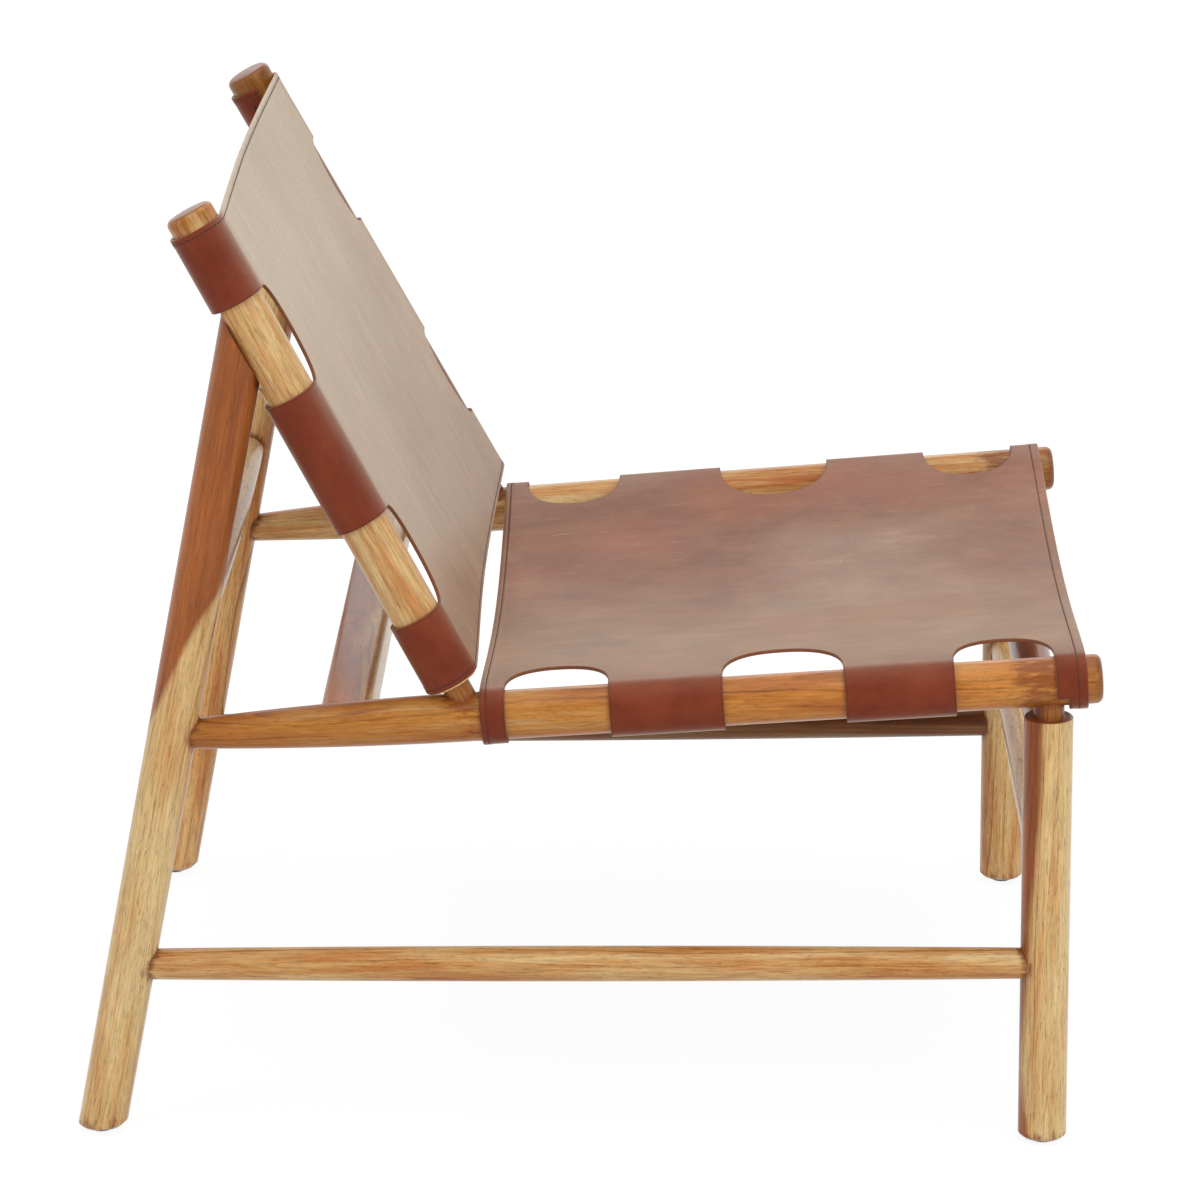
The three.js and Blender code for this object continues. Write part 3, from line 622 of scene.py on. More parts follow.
def flesh_side():
    sheen = {"Sheen_Weight": 0.25, "Sheen_Roughness": 0.5}
    material, t, shader = finish("Flesh side of the leather", Roughness=0.88, **sheen)
    where = t.attribute("hide")
    nap = t.noise(where, 1400.0, 3.0, 0.7)
    cloud = t.noise(where, 22.0, 5.0, 0.6)
    body = t.mix(t.span(cloud, 0.3, 0.7), srgb(128, 84, 62), srgb(152, 108, 82))
    t.join(t.mix(t.span(nap, 0.35, 0.7, 0.0, 0.5), body, srgb(104, 66, 48)), shader, "Base_Color")
    bumped(t, shader, nap, 0.0004, 0.7)
    return material


def waxed_thread():
    material, t, shader = finish("Waxed thread", Roughness=0.6)
    twist = t.noise(t.coordinates(), 2400.0, 2.0)
    t.join(t.mix(twist, srgb(44, 24, 20), srgb(78, 44, 34)), shader, "Base_Color")
    bumped(t, shader, twist, 0.0002, 0.5)
    return material


def aged_brass():
    material, t, shader = finish("Aged brass tacks", Metallic=1.0)
    stain = t.noise(t.coordinates(), 380.0, 4.0)
    t.join(t.mix(t.span(stain, 0.4, 0.65), srgb(92, 62, 40), srgb(52, 34, 24)), shader, "Base_Color")
    t.join(t.span(stain, 0.3, 0.7, 0.4, 0.6), shader, "Roughness")
    return material


def black_rubber():
    material, t, shader = finish("Black rubber", Roughness=0.72)
    dust = t.noise(t.coordinates(), 260.0, 5.0)
    t.join(t.mix(t.span(dust, 0.45, 0.75), srgb(30, 28, 27), srgb(62, 58, 54)), shader, "Base_Color")
    bumped(t, shader, dust, 0.0003, 0.4)
    return material


TEAK, LEATHER, EDGE, FLESH = lacquered_wood(), saddle_leather(), cut_edge(), flesh_side()
THREAD, BRASS, RUBBER = waxed_thread(), aged_brass(), black_rubber()


# Turned frame.

# How each piece lay in its tree, and its tone. In order: where the middle of the tree lies beside the
# start of the piece, how far that moves over a metre of it, and where up the tree it grew, in millimetres;
# how warm it is; and how light it is painted, at its start and how much more after a metre, which is
# painted light and shade standing in for how the light falls on the piece.
GRAIN = {
    "seat_rail_right": ((70, 98), (-26, 22), 1200, 1.15, 0.93, -0.34),
    "seat_rail_left": ((-54, 112), (-26, 22), 5200, 0.5, 0.88, 0.14),
    "front_leg_right": ((4, -119), (0, 26), 300, 0.05, 1.02, 0),
    "front_leg_left": ((54, -112), (-30, 20), 7100, 0.3, 1.1, 0),
    "rear_leg_right": ((0, -130), (4, 0), 2400, 0.08, 1.0, 0),
    "rear_leg_left": ((34, 130), (10, -16), 9300, 0.4, 1.32, 0),
    "back_post_right": ((78, -86), (20, -10), 3700, 0.35, 0.92, 0),
    "back_post_left": ((-72, 94), (20, -10), 800, 0.9, 0.55, 0),
    "side_stretcher_right": ((66, 94), (16, -10), 6100, 0.45, 0.95, 0),
    "side_stretcher_left": ((-64, 100), (16, -10), 4400, 0.7, 0.4, 0),
    "front_stretcher": ((70, 96), (20, 12), 8200, 0.1, 1.25, 0),
    "front_cross_rail": ((60, 58), (-30, 16), 1900, 0.1, 1.25, 0),
    "back_cross_rail": ((72, 82), (24, 18), 5600, 0.1, 1.25, 0),
    "rear_cross_rail": ((26, 104), (14, 10), 7700, 0.0, 1.22, 0),
}
# How far from the middle of the tree the heartwood ends, at places along the piece.
HEARTWOOD_ENDS = {
    "front_leg_right": ((0, 109), (13, 107.5), (30, 104), (64, 101), (131, 101.6), (199, 101.6), (267, 105)),
    "rear_leg_right": ((300, 100), (345, 112), (409, 131), (456, 149), (500, 160)),
}
PLAIN_HEARTWOOD_END = ((0, 100),)
# Past the shoulder the neck is warmer, and painted darker as shade under the rail.
NECK_WARMTH, NECK_PAINTED_SHADE = 1.3, 0.6
BARE_WARMTH, BARE_LIGHTNESS = 0.0, 1.35


def touch(line, diameter, low=0, high=700, spread=4.2, depth=1.0):
    """A round piece that meets another, between two places along it, and how far and how deep the finish
    of the other is stained round it."""
    return line, diameter / 2, low, high, spread, depth


def reach(points, line, radius, low, high):
    """How far points are from the surface of a round piece, between two places along it."""
    gap = points - line.origin
    along = gap @ line.way
    off = np.linalg.norm(gap - along[:, None] * line.way, axis=1)
    past = np.maximum(np.maximum(low - along, along - high), 0)
    return np.hypot(np.maximum(off - radius, 0), past)


def wooden(made, node, line, touches, neck=None, bare=0.0, tip=(0, 0)):
    """Gives a wooden piece its place in the tree, its dark joint stains and its finish. Past the neck the
    wood is warmer and painted darker, as shade under the rail, a bare stretch before it is pale, and the
    tip, a first stretch, is darker by a share."""
    heart, drift, height, warmth, painted_light, painted_light_gain = GRAIN[node]
    points = vectors_of(made.data.vertices, "co") / MM
    gap = points - line.origin
    along = gap @ line.way
    beside = [gap @ way + heart[k] + drift[k] * along * MM for k, way in enumerate(line.square())]
    give(made, "timber", np.stack([along + height, *beside], axis=1) * MM)
    ends = HEARTWOOD_ENDS.get(node, PLAIN_HEARTWOOD_END)
    give(made, "core", np.interp(along, *np.transpose(ends)) * MM)
    seam = np.zeros(len(points))
    for *other, spread, depth in touches:
        seam = np.maximum(seam, depth * np.exp(-((reach(points, *other) / spread) ** 2)))
    give(made, "seam", seam)

    # Warmth, painted light and shade, and end grain, in one vector.
    facing = vectors_of(made.data.vertex_normals, "vector")
    end = np.clip((np.abs(facing @ line.way) - 0.55) / 0.4, 0, 1)
    worn = np.clip(1.4 - along / tip[0], 0, 1) if tip[0] else 0
    tone = [warmth + 0.5 * worn, (painted_light + painted_light_gain * along * MM) * (1 - tip[1] * worn), end]
    # The neck gets a warmer tone and painted shade.
    if neck:
        past = along > neck
        tone[:2] = np.where(past, NECK_WARMTH, tone[0]), np.where(past, NECK_PAINTED_SHADE, tone[1])
    if bare:
        shown = ~past & (along > neck - bare)
        plain = BARE_WARMTH, BARE_LIGHTNESS, 0.0
        tone = [np.where(shown, value, old) for value, old in zip(plain, tone)]
    give(made, "tone", np.stack(np.broadcast_arrays(*tone), axis=1))
    made.data.materials.clear()
    made.data.materials.append(TEAK)
    smooth(made)
    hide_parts(node)
    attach(made, "root")


def foot_cutter(foot):
    """All that lies below a level foot with a softened edge."""
    inner, outer = RADIUS - FOOT_CHAMFER, RADIUS + OVERRUN
    profile = [(POINT, -40), (outer, -40), (outer, GLIDE_HEIGHT + outer - inner)]
    profile += [(inner + 0.7, GLIDE_HEIGHT + 0.7), (inner - 0.9, GLIDE_HEIGHT), (POINT, GLIDE_HEIGHT)]
    return turned("Foot cutter", Line(foot, UPRIGHT), profile, 60, 96)


def darker_foot(leg):
    """Darkens the last stretch of a leg, above the floor."""
    return touch(Line(leg.origin, UPRIGHT), DIAMETER + 8, -20, 0, 13, 0.95)


def inwards(side, point):
    """The line of a cross bar from a point on a leg."""
    return Line(point, (0, -SIDES[side], 0))


def side_bar(side):
    """The line from the axis of the rear leg to the axis of the front leg, and its length."""
    low = REAR_LEG[side].at_height(SIDE_STRETCHER_REAR_HEIGHT)
    high = FRONT_LEG[side].at_height(SIDE_STRETCHER_FRONT_HEIGHT)
    return between(low, high), np.linalg.norm(high - low)


def flat_frame(side):
    """The middle of the flat on the post, and the directions forwards, across and up from it."""
    up = POST[side].way
    across = np.cross(up, REAR_LEG[side].way)
    across /= np.linalg.norm(across)
    return REAR_LEG[side].at(REAR_LEG_TO_FLAT), (np.cross(across, up), across, up)


def seat_rail(side):
    rail, post = RAIL[side], POST[side]
    profile = domed(RADIUS, RAIL_END_ROUND, RAIL_DOME)
    taper = RAIL_TO_REAR_LEG - RADIUS - RAIL_TAPER_SETBACK
    for share in np.linspace(0, 1, 17):
        thinning = (DIAMETER - RAIL_END_DIAMETER) * share**2
        profile.append(((DIAMETER - thinning) / 2, RAIL_TAPER_SETBACK + taper * share))
    profile.append((RAIL_END_DIAMETER / 2, RAIL_TO_REAR_LEG - RADIUS + SOCKET_DEPTH))
    touches = [
        touch(FRONT_LEG[side], LEG_NECK_DIAMETER, 0, 372),
        touch(FRONT_LEG[side], LEG_NECK_DIAMETER, 0, 390, 22, 1.2),
        touch(post, POST_NECK_DIAMETER, -2, 60),
        touch(post, POST_NECK_DIAMETER, -2, 60, 10, 1.1),
        touch(REAR_LEG[side], DIAMETER),
    ]
    made = turned("turned_seat_rail_" + side, rail, profile)
    wooden(made, "seat_rail_" + side, rail, touches, tip=(9.0, 0.45))


def front_leg(side):
    """Its shoulder lies below the seat rail, its neck goes into the rail, and its foot is level."""
    leg = FRONT_LEG[side]
    to_rail = RAIL_HEIGHT / leg.way[2]
    shoulder = to_rail - RADIUS - LEG_SHOULDER_GAP
    turns = (0, 18, 36, 54, 72, 90)
    neck = shouldered(shoulder, to_rail - RADIUS + NECK_DEPTH, LEG_NECK_DIAMETER, 1.4, turns, 0.6)
    made = turned("turned_front_leg_" + side, leg, [(RADIUS, -OVERRUN)] + neck)
    bar, length = side_bar(side)
    stretcher = inwards(side, leg.at_height(FRONT_STRETCHER_HEIGHT))
    cross_rail = inwards(side, leg.at_height(FRONT_CROSS_RAIL_HEIGHT))
    touches = [
        touch(stretcher, STRETCHER_END_DIAMETER, 4, 40),
        touch(cross_rail, CROSS_RAIL_END_DIAMETER, 4, 40),
        touch(bar, STRETCHER_END_DIAMETER, length - 60, length),
        touch(RAIL[side], DIAMETER),
        darker_foot(leg),
    ]
    wooden(carved(made, [foot_cutter(leg.origin)]), "front_leg_" + side, leg, touches, neck=shoulder - 0.2)


def rear_leg(side):
    """Sawn level at the floor and trimmed to lie on the flat of the post."""
    leg = REAR_LEG[side]
    made = turned("turned_rear_leg_" + side, leg, [(RADIUS, -OVERRUN), (RADIUS, REAR_LEG_TO_FLAT + DIAMETER)])
    low, high = (-LEG_END_CLEARANCE, -90, -180), (DIAMETER + OVERRUN, 90, 180)
    trim = block("Leg trim", *flat_frame(side), low, high)
    cross_rail = inwards(side, leg.at(REAR_LEG_TO_CROSS_RAIL))
    stretcher = touch(side_bar(side)[0], STRETCHER_END_DIAMETER, 0, 60)
    touches = [touch(RAIL[side], RAIL_END_DIAMETER, 600, 712), touch(POST[side], DIAMETER, 0, POST_LENGTH)]
    touches += [stretcher, touch(cross_rail, CROSS_RAIL_END_DIAMETER, 4, 60), darker_foot(leg)]
    wooden(carved(made, [trim, foot_cutter(leg.origin)]), "rear_leg_" + side, leg, touches)


def back_post(side):
    """Turned from its top down to its neck in the seat rail, and planed flat where the rear leg meets it."""
    post = Line(POST[side].at(POST_LENGTH), -POST[side].way)
    shoulder = POST_LENGTH - POST_SHOULDER
    end = POST_LENGTH - RADIUS + NECK_DEPTH
    profile = domed(RADIUS, POST_END_ROUND, POST_DOME)
    profile += shouldered(shoulder, end, POST_NECK_DIAMETER, 1, (0, 22, 45, 68, 90), 0.5)
    run = FLAT_DEPTH / math.tan(JOINT_ANGLE) + JOINT_CLEARANCE / math.sin(JOINT_ANGLE)
    length = DIAMETER / math.sin(JOINT_ANGLE) + run
    wide = (DIAMETER + OVERRUN) / 2
    low, high = (-OVERRUN, -wide, -(run + length) / 2), (0, wide, (length - run) / 2)
    plane = block("Post flat", *flat_frame(side), low, high)
    made = carved(turned("turned_back_post_" + side, post, profile), [plane])
    touches = [touch(RAIL[side], DIAMETER), touch(REAR_LEG[side], DIAMETER, 0, 630)]
    wooden(made, "back_post_" + side, post, touches, neck=shoulder + 0.1, bare=3.6, tip=(14.0, 0.22))


def side_stretcher(side):
    bar, length = side_bar(side)
    inset = RADIUS - SOCKET_DEPTH
    line = Line(bar.at(inset), bar.way)
    sizes = length - 2 * inset, STRETCHER_DIAMETER, STRETCHER_END_DIAMETER
    touches = [touch(REAR_LEG[side], DIAMETER), touch(FRONT_LEG[side], DIAMETER)]
    wooden(barrel("turned_side_stretcher_" + side, line, *sizes), "side_stretcher_" + side, line, touches)


def cross_bar(node, point, legs, diameter, end_diameter):
    """A round bar between a left and a right leg, at a point on the left one."""
    far = point[1] - RADIUS + SOCKET_DEPTH
    line = Line((point[0], -far, point[2]), ACROSS)
    made = barrel("turned_" + node, line, 2 * far, diameter, end_diameter)
    wooden(made, node, line, [touch(leg, DIAMETER) for leg in legs.values()])


def flat_cross_rail():
    """The flat board let into the seat rails, with rounded edges."""
    where = RAIL["left"].at(POST_SETBACK + (RAIL_TO_REAR_LEG - POST_SETBACK) * BOARD_PLACE_SHARE)
    far = where[1] - RADIUS + BOARD_HOUSING
    forward, up = tilted(RAIL_SLOPE), tilted(90 + RAIL_SLOPE)
    middle = where * (1, 0, 1) - up * BOARD_DROP
    wide, tall = BOARD_WIDTH / 2 - BOARD_EDGE_ROUND, BOARD_THICKNESS / 2 - BOARD_EDGE_ROUND
    outline = []
    for x, z, start in ((wide, -tall, -90), (wide, tall, 0), (-wide, tall, 90), (-wide, -tall, 180)):
        for a in np.radians(np.linspace(start, start + 90, 9)):
            x_round, z_round = BOARD_EDGE_ROUND * math.cos(a), BOARD_EDGE_ROUND * math.sin(a)
            outline.append(forward * (x + x_round) + up * (z + z_round))
    rings = [middle + np.array(outline) + ACROSS * y for y in np.linspace(-far, far, BOARD_STEPS + 1)]
    made = lofted("flat_rear_cross_rail", np.concatenate(rings), len(outline))
    made.data.flip_normals()
    line = Line(middle - ACROSS * far, ACROSS)
    wooden(made, "rear_cross_rail", line, [touch(rail, DIAMETER) for rail in RAIL.values()])


def foot_glides():
    """Rubber buttons with a rounded rim, pressed under the feet."""
    flat, top = GLIDE_RADIUS - GLIDE_EDGE, GLIDE_HEIGHT + GLIDE_STEM_LENGTH
    turns = np.radians((0, 30, 60, 90))
    profile = [(POINT, 0)]
    profile += [(flat + GLIDE_EDGE * math.sin(a), GLIDE_EDGE - GLIDE_EDGE * math.cos(a)) for a in turns]
    profile += [(GLIDE_RADIUS, 2.4), (GLIDE_RADIUS - 0.7, 3.3), (GLIDE_RADIUS - 2.1, GLIDE_HEIGHT)]
    profile += [(GLIDE_STEM_RADIUS, GLIDE_HEIGHT), (GLIDE_STEM_RADIUS, top), (POINT, top)]
    for place, legs in (("front", FRONT_LEG), ("rear", REAR_LEG)):
        for side, leg in legs.items():
            name = f"turned_foot_glide_{place}_{side}"
            made = turned(name, Line(leg.origin, UPRIGHT), profile, 1.0, 48)
            made.data.materials.append(RUBBER)
            smooth(made)
            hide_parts(f"foot_glide_{place}_{side}")
            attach(made, "root")


for side in SIDES:
    for make in (seat_rail, front_leg, rear_leg, back_post, side_stretcher):
        make(side)
thin, thick = (STRETCHER_DIAMETER, STRETCHER_END_DIAMETER), (CROSS_RAIL_DIAMETER, CROSS_RAIL_END_DIAMETER)
cross_bar("front_stretcher", FRONT_LEG["left"].at_height(FRONT_STRETCHER_HEIGHT), FRONT_LEG, *thin)
cross_bar("front_cross_rail", FRONT_LEG["left"].at_height(FRONT_CROSS_RAIL_HEIGHT), FRONT_LEG, *thick)
cross_bar("back_cross_rail", REAR_LEG["left"].at(REAR_LEG_TO_CROSS_RAIL), REAR_LEG, *thick)
flat_cross_rail()
foot_glides()
for name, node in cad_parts.items():
    if name.startswith("joint_dowel"):
        node.data.materials.clear()
        node.data.materials.append(TEAK)


# Leather slings.

HEM_SPREADS = (-1.6, -1, -0.5, 0, 0.5, 1, 1.6, 2.6, 4)  # places in and beside a row of stitches
HEM_RISE, HEM_DROP = 0.35, 0.5  # how much thicker the folded edge is outside and inside
SEAM_DIP, SEAM_WIDTH = 0.6, 0.75  # of the groove that the thread pulls
PANEL_ROWS, WRAP_STEPS, CUT_STEPS, RIM_STEPS = 113, 44, 56, 7
CUT_POWER = 2.3  # the cut-outs are half ovals, a little squared
SAG_POWER = 1.5  # the leather leaves its rails level
TACK_SPACING = 26
TACK_INSET = 8.5  # from the end of a tab


def patches(spots, x, y):
    """Soft round patches added up: each has a height, a place and how far it reaches either way."""
    total = np.zeros(np.shape(x))
    for height, px, py, wide, deep in spots:
        total = total + height * np.exp(-(((x - px) / wide) ** 2) - ((y - py) / deep) ** 2)
    return total


@dataclass
class Sling:
    """One sheet: a sagging panel between two rails, and tabs that wrap round them. Its places are given
    as x, from its first edge along the rails, and y, across it."""

    name: str
    rail: Line  # the left one
    start: float  # where along that the sheet starts
    way: int  # 1 where it runs the way of the rail, and -1 where it runs back
    tilt: float  # which way it runs in a side view, in degrees up from the front
    facing: float  # which way the panel faces, the same
    tabs: tuple  # widths
    cuts: tuple  # widths of the cut-outs between the tabs
    depths: tuple  # of the cut-outs
    sag: float
    notch: float  # how much of the first tab goes round in full, or 0 for all of it
    hems: tuple  # from each edge to its row of stitches
    waves: tuple  # patches of unevenness
    painted_sheen: tuple  # painted sheen: how pale and grey the hide is painted, at places along it
    sheen_and_red_patches: tuple  # patches of painted sheen above 0 and of redder hide below 0

    def __post_init__(self):
        self.along, self.out = tilted(self.tilt), tilted(self.facing)
        self.origin = self.rail.at(self.start) * (1, 0, 1)
        self.length = sum(self.tabs) + sum(self.cuts)

    def half_width(self, x):
        """From the middle of the sheet to the axis of a rail, which leans out by a share to six places."""
        lean = round(float(self.rail.way[1]), 6)
        return self.rail.origin[1] + lean * (self.start + self.way * np.asarray(x, float))

    def place(self, x, side, angle_or_y, wrapped):
        """A point of the inner face: y across the panel, or an angle round a rail."""
        x, value = np.broadcast_arrays(np.asarray(x, float), np.asarray(angle_or_y, float))
        half = self.half_width(x)
        if wrapped:
            y = side * (half + INNER * np.sin(value))
            z = INNER * np.cos(value)
        else:
            y = value
            share = np.clip(1 - (y / half) ** 2, 0, 1)
            z = INNER - self.sag * share**SAG_POWER + patches(self.waves, x, y) * share**0.7
        return self.origin + x[..., None] * self.along + y[..., None] * ACROSS + z[..., None] * self.out

    def wrapped_way(self, side, angle):
        """Which way the leather faces at an angle round a rail."""
        return side * math.sin(angle) * ACROSS + math.cos(angle) * self.out

    def tab_columns(self, i, low, high):
        """Places along a tab, closer together at its ends, at its hem and at its notch."""
        first, last = i == 0, i == len(self.tabs) - 1
        low, high = low + (FOLD if first else CUT_ROUND), high - (FOLD if last else CUT_ROUND)
        stops = {low, high, low + 0.5, high - 0.5, low + 1.4, high - 1.4}
        if first and self.notch:
            stops |= {self.notch - 0.5, self.notch - 1.0}
        if first:
            stops |= {self.hems[0] + d for d in HEM_SPREADS}
        if last:
            stops |= {self.length - self.hems[1] - d for d in HEM_SPREADS}
        for value in np.linspace(low, high, max(3, int((high - low) / 2.2))):
            if min(abs(value - s) for s in stops) > 0.8:
                stops.add(value)
        for value in sorted(s for s in stops if low - 1e-9 <= s <= high + 1e-9):
            short = first and self.notch and value >= self.notch - 0.5 - 1e-9
            yield value, 0.0, NOTCH_WRAP if short else WRAP

    def columns(self):
        """Places along the rails, with the cut there and how far the tab goes round: 0 in a cut-out."""
        found, start = [], 0.0
        for i, tab in enumerate(self.tabs):
            found += self.tab_columns(i, start, start + tab)
            start += tab
            if i < len(self.cuts):
                low, wide = start - CUT_ROUND, self.cuts[i] + 2 * CUT_ROUND
                for k in range(1, CUT_STEPS):
                    share = -math.cos(math.pi * k / CUT_STEPS)
                    cut = self.depths[i] * (1 - abs(share) ** CUT_POWER) ** (1 / CUT_POWER)
                    found.append((low + wide * (1 + share) / 2, cut + CUT_ROUND, 0.0))
                start += self.cuts[i]
        return found

    def sheet(self):
        """The inner face as points and quads, with the flat coordinates of each point."""
        columns = self.columns()
        rows = np.linspace(-1, 1, PANEL_ROWS)
        rows = np.unique(np.concatenate([rows, [s * v for s in (-1, 1) for v in (0.9978, 0.994, 0.989)]]))
        points, flat, quads, index = [], [], [], {}

        def add(key, spot, x, y):
            index[key] = len(points)
            points.append(spot)
            flat.append((x, y))

        for i, (x, cut, _) in enumerate(columns):
            y = rows * (float(self.half_width(x)) - cut)
            for j, spot in enumerate(self.place(x, 1, y, False)):
                add((i, "panel", j), spot, x, y[j])
        last = len(rows) - 1
        for i in range(len(columns) - 1):
            for j in range(last):
                corners = (i, j), (i + 1, j), (i + 1, j + 1), (i, j + 1)
                quads.append([index[a, "panel", b] for a, b in corners])
        # The columns beside a notch share their first half with the short ones.
        half_steps = WRAP_STEPS // 2
        short = (NOTCH_WRAP - CUT_ROUND / INNER) * np.arange(1, half_steps + 1) / half_steps
        rest = np.linspace(short[-1], WRAP - CUT_ROUND / INNER, half_steps + 1)[1:]
        for side, name, edge in ((-1, "low", 0), (1, "high", last)):
            for i, (x, _, wrap) in enumerate(columns):
                index[i, name, 0] = index[i, "panel", edge]
                if not wrap:
                    continue
                angles = short if wrap == NOTCH_WRAP else np.concatenate([short, rest])
                half = float(self.half_width(x))
                for k, spot in enumerate(self.place(x, side, angles, True), 1):
                    add((i, name, k), spot, x, side * (half + MIDDLE * angles[k - 1]))
            for i in range(len(columns) - 1):
                for k in range(WRAP_STEPS):
                    corners = [(i, name, k), (i + 1, name, k), (i + 1, name, k + 1), (i, name, k + 1)]
                    if all(c in index for c in corners) and columns[i][2] and columns[i + 1][2]:
                        quad = [index[c] for c in corners]
                        quads.append(quad if side > 0 else quad[::-1])
        return np.array(points), np.array(quads), np.array(flat)

    def hem(self, x):
        """How much thicker the sheet is at x, outside and inside, where its edge is folded and stitched."""
        lift = drop = 0.0
        for inside, line in ((x, self.hems[0]), (self.length - x, self.hems[1])):
            past = np.clip((inside - line - 1.4) / 2.0, 0, 1)
            fold = 1 - past * past * (3 - 2 * past)
            lift = lift + HEM_RISE * fold - SEAM_DIP * np.exp(-(((inside - line) / SEAM_WIDTH) ** 2))
            drop = drop + HEM_DROP * fold
        return lift, drop

    def faces(self):
        """The points of the outer and the inner face, the quads and the flat coordinates of both."""
        base, quads, flat = self.sheet()
        a, b, c, d = (base[quads[:, k]] for k in range(4))
        normal = np.cross(c - a, d - b)
        self.area = np.linalg.norm(normal, axis=1).sum() / 2
        normals = np.zeros_like(base)
        for k in range(4):
            np.add.at(normals, quads[:, k], normal)
        normals /= np.linalg.norm(normals, axis=1)[:, None]
        if (normals @ self.out)[np.abs(flat[:, 1]) < 50].mean() < 0:
            normals, quads = -normals, quads[:, ::-1]
        lift, drop = self.hem(flat[:, 0])
        on_panel = np.clip((self.half_width(flat[:, 0]) - 14 - np.abs(flat[:, 1])) / 20, 0, 1)
        top = base + normals * (THICKNESS + lift)[:, None]
        under = base - normals * (drop * on_panel)[:, None]

        # Edges with a face on one side only, and which way is out there.
        edges = {(int(q[k]), int(q[(k + 1) % 4])) for q in quads for k in range(4)}
        rim = [(p, q) for p, q in edges if (q, p) not in edges]
        out = np.zeros_like(base)
        for p, q in rim:
            way = base[q] - base[p]
            way = np.cross(way / max(np.linalg.norm(way), 1e-9), normals[p])
            out[p] += way
            out[q] += way
        used = sorted({p for edge in rim for p in edge})
        out[used] /= np.linalg.norm(out[used], axis=1)[:, None]
        return top, under, quads, flat, rim, used, out

    def build(self):
        """The closed sheet, with rolled hems and rounded cut edges."""
        top, under, quads, flat, rim, used, out = self.faces()
        count = len(top)
        folded = (flat[:, 0] < FOLD + 0.01) | (flat[:, 0] > self.length - FOLD - 0.01)

        # Rings between the two faces: a half round for a fold, a softened square for a cut.
        ring_points, ring_flat = [], []
        for k in range(1, RIM_STEPS):
            turn = math.pi * k / RIM_STEPS
            level, rise = math.cos(turn), math.sin(turn)
            square = math.copysign(abs(level) ** 0.55, level)
            for p in used:
                middle, half = (top[p] + under[p]) / 2, (top[p] - under[p]) / 2
                if folded[p]:
                    spot = middle + half * level + out[p] * FOLD * rise
                else:
                    spot = middle + half * square + out[p] * CUT_ROUND * rise**0.7
                ring_points.append(spot)
                ring_flat.append((*flat[p], THICKNESS * (k / RIM_STEPS)))
        points = np.concatenate([top, under, ring_points])
        outer, inner = ([*flat.T, np.full(count, depth)] for depth in (0.0, THICKNESS))
        layer = np.concatenate([np.column_stack(outer), np.column_stack(inner), ring_flat])

        number = {p: k for k, p in enumerate(used)}

        def ring(p, k):
            if k in (0, RIM_STEPS):
                return p + count * (k > 0)
            return 2 * count + (k - 1) * len(used) + number[p]

        faces = [list(q) for q in quads] + [list(q[::-1] + count) for q in quads]
        kinds = [0] * len(quads) + [2] * len(quads)
        for p, q in rim:
            for k in range(RIM_STEPS):
                faces.append([ring(q, k), ring(p, k), ring(p, k + 1), ring(q, k + 1)])
                kinds.append(0 if folded[p] and folded[q] else 1)
        made = mesh_object(self.name + "_leather", points, faces)
        made.data.polygons.foreach_set("material_index", kinds)
        for material in (LEATHER, EDGE, FLESH):
            made.data.materials.append(material)

        x, y = layer[:, 0], layer[:, 1]
        give(made, "hide", layer * MM)
        # Painted sheen along the sheet and in patches, with redder hide where the patches go below 0.
        give(made, "sheen_and_red", np.interp(x, *np.transpose(self.painted_sheen)) + patches(self.sheen_and_red_patches, x, y))
        give(made, "worn", np.clip((self.half_width(x) - np.abs(y) + 24) / 44, 0, 1))
        # How far the nearest cut edge is. A fold has none near it.
        tree = KDTree(len(used))
        for p in used:
            if not folded[p]:
                tree.insert(Vector((*flat[p], 0)), p)
        tree.balance()
        give(made, "rim", np.array([tree.find(Vector((*spot, 0)))[2] for spot in layer[:, :2]]) * MM)
        made.data.shade_smooth()
        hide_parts(self.name)
        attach(made, "root")
        return made

    def seam_path(self, x):
        """Points and outward directions along a row of stitches that crosses the whole sheet."""
        rise = THICKNESS + self.hem(x)[0] + 0.05
        half = float(self.half_width(x))
        spots, ways = [], []
        angles = np.linspace(WRAP - 0.12, 0.02, 40)
        path = [(-1, a, True) for a in angles]
        path += [(1, y, False) for y in np.linspace(-half, half, 160)]
        path += [(1, a, True) for a in angles[::-1]]
        for side, value, wrapped in path:
            if wrapped:
                way = self.wrapped_way(side, value)
            else:
                step = self.place(x, side, value + 0.5, False) - self.place(x, side, value - 0.5, False)
                way = np.cross(self.along, step)
                way *= np.sign(way @ self.out)
                way /= np.linalg.norm(way)
            spots.append(self.place(x, side, value, wrapped) + way * rise)
            ways.append(way)
        return spots, ways

    def tack_places(self):
        """Where the tabs are tacked to the far side of the rail, near their ends."""
        spots, ways, start = [], [], 0.0
        angle = WRAP - TACK_INSET / (INNER + THICKNESS)
        for i, tab in enumerate(self.tabs):
            high = self.notch if i == 0 and self.notch else tab
            count = max(1, round(high / TACK_SPACING))
            for k in range(count):
                x = start + high * (k + 0.5) / count
                for side in (-1, 1):
                    way = self.wrapped_way(side, angle)
                    spots.append(self.place(x, side, angle, True) + way * (THICKNESS + self.hem(x)[0] - 0.15))
                    ways.append(way)
            start += tab + (self.cuts[i] if i < len(self.cuts) else 0)
        return spots, ways


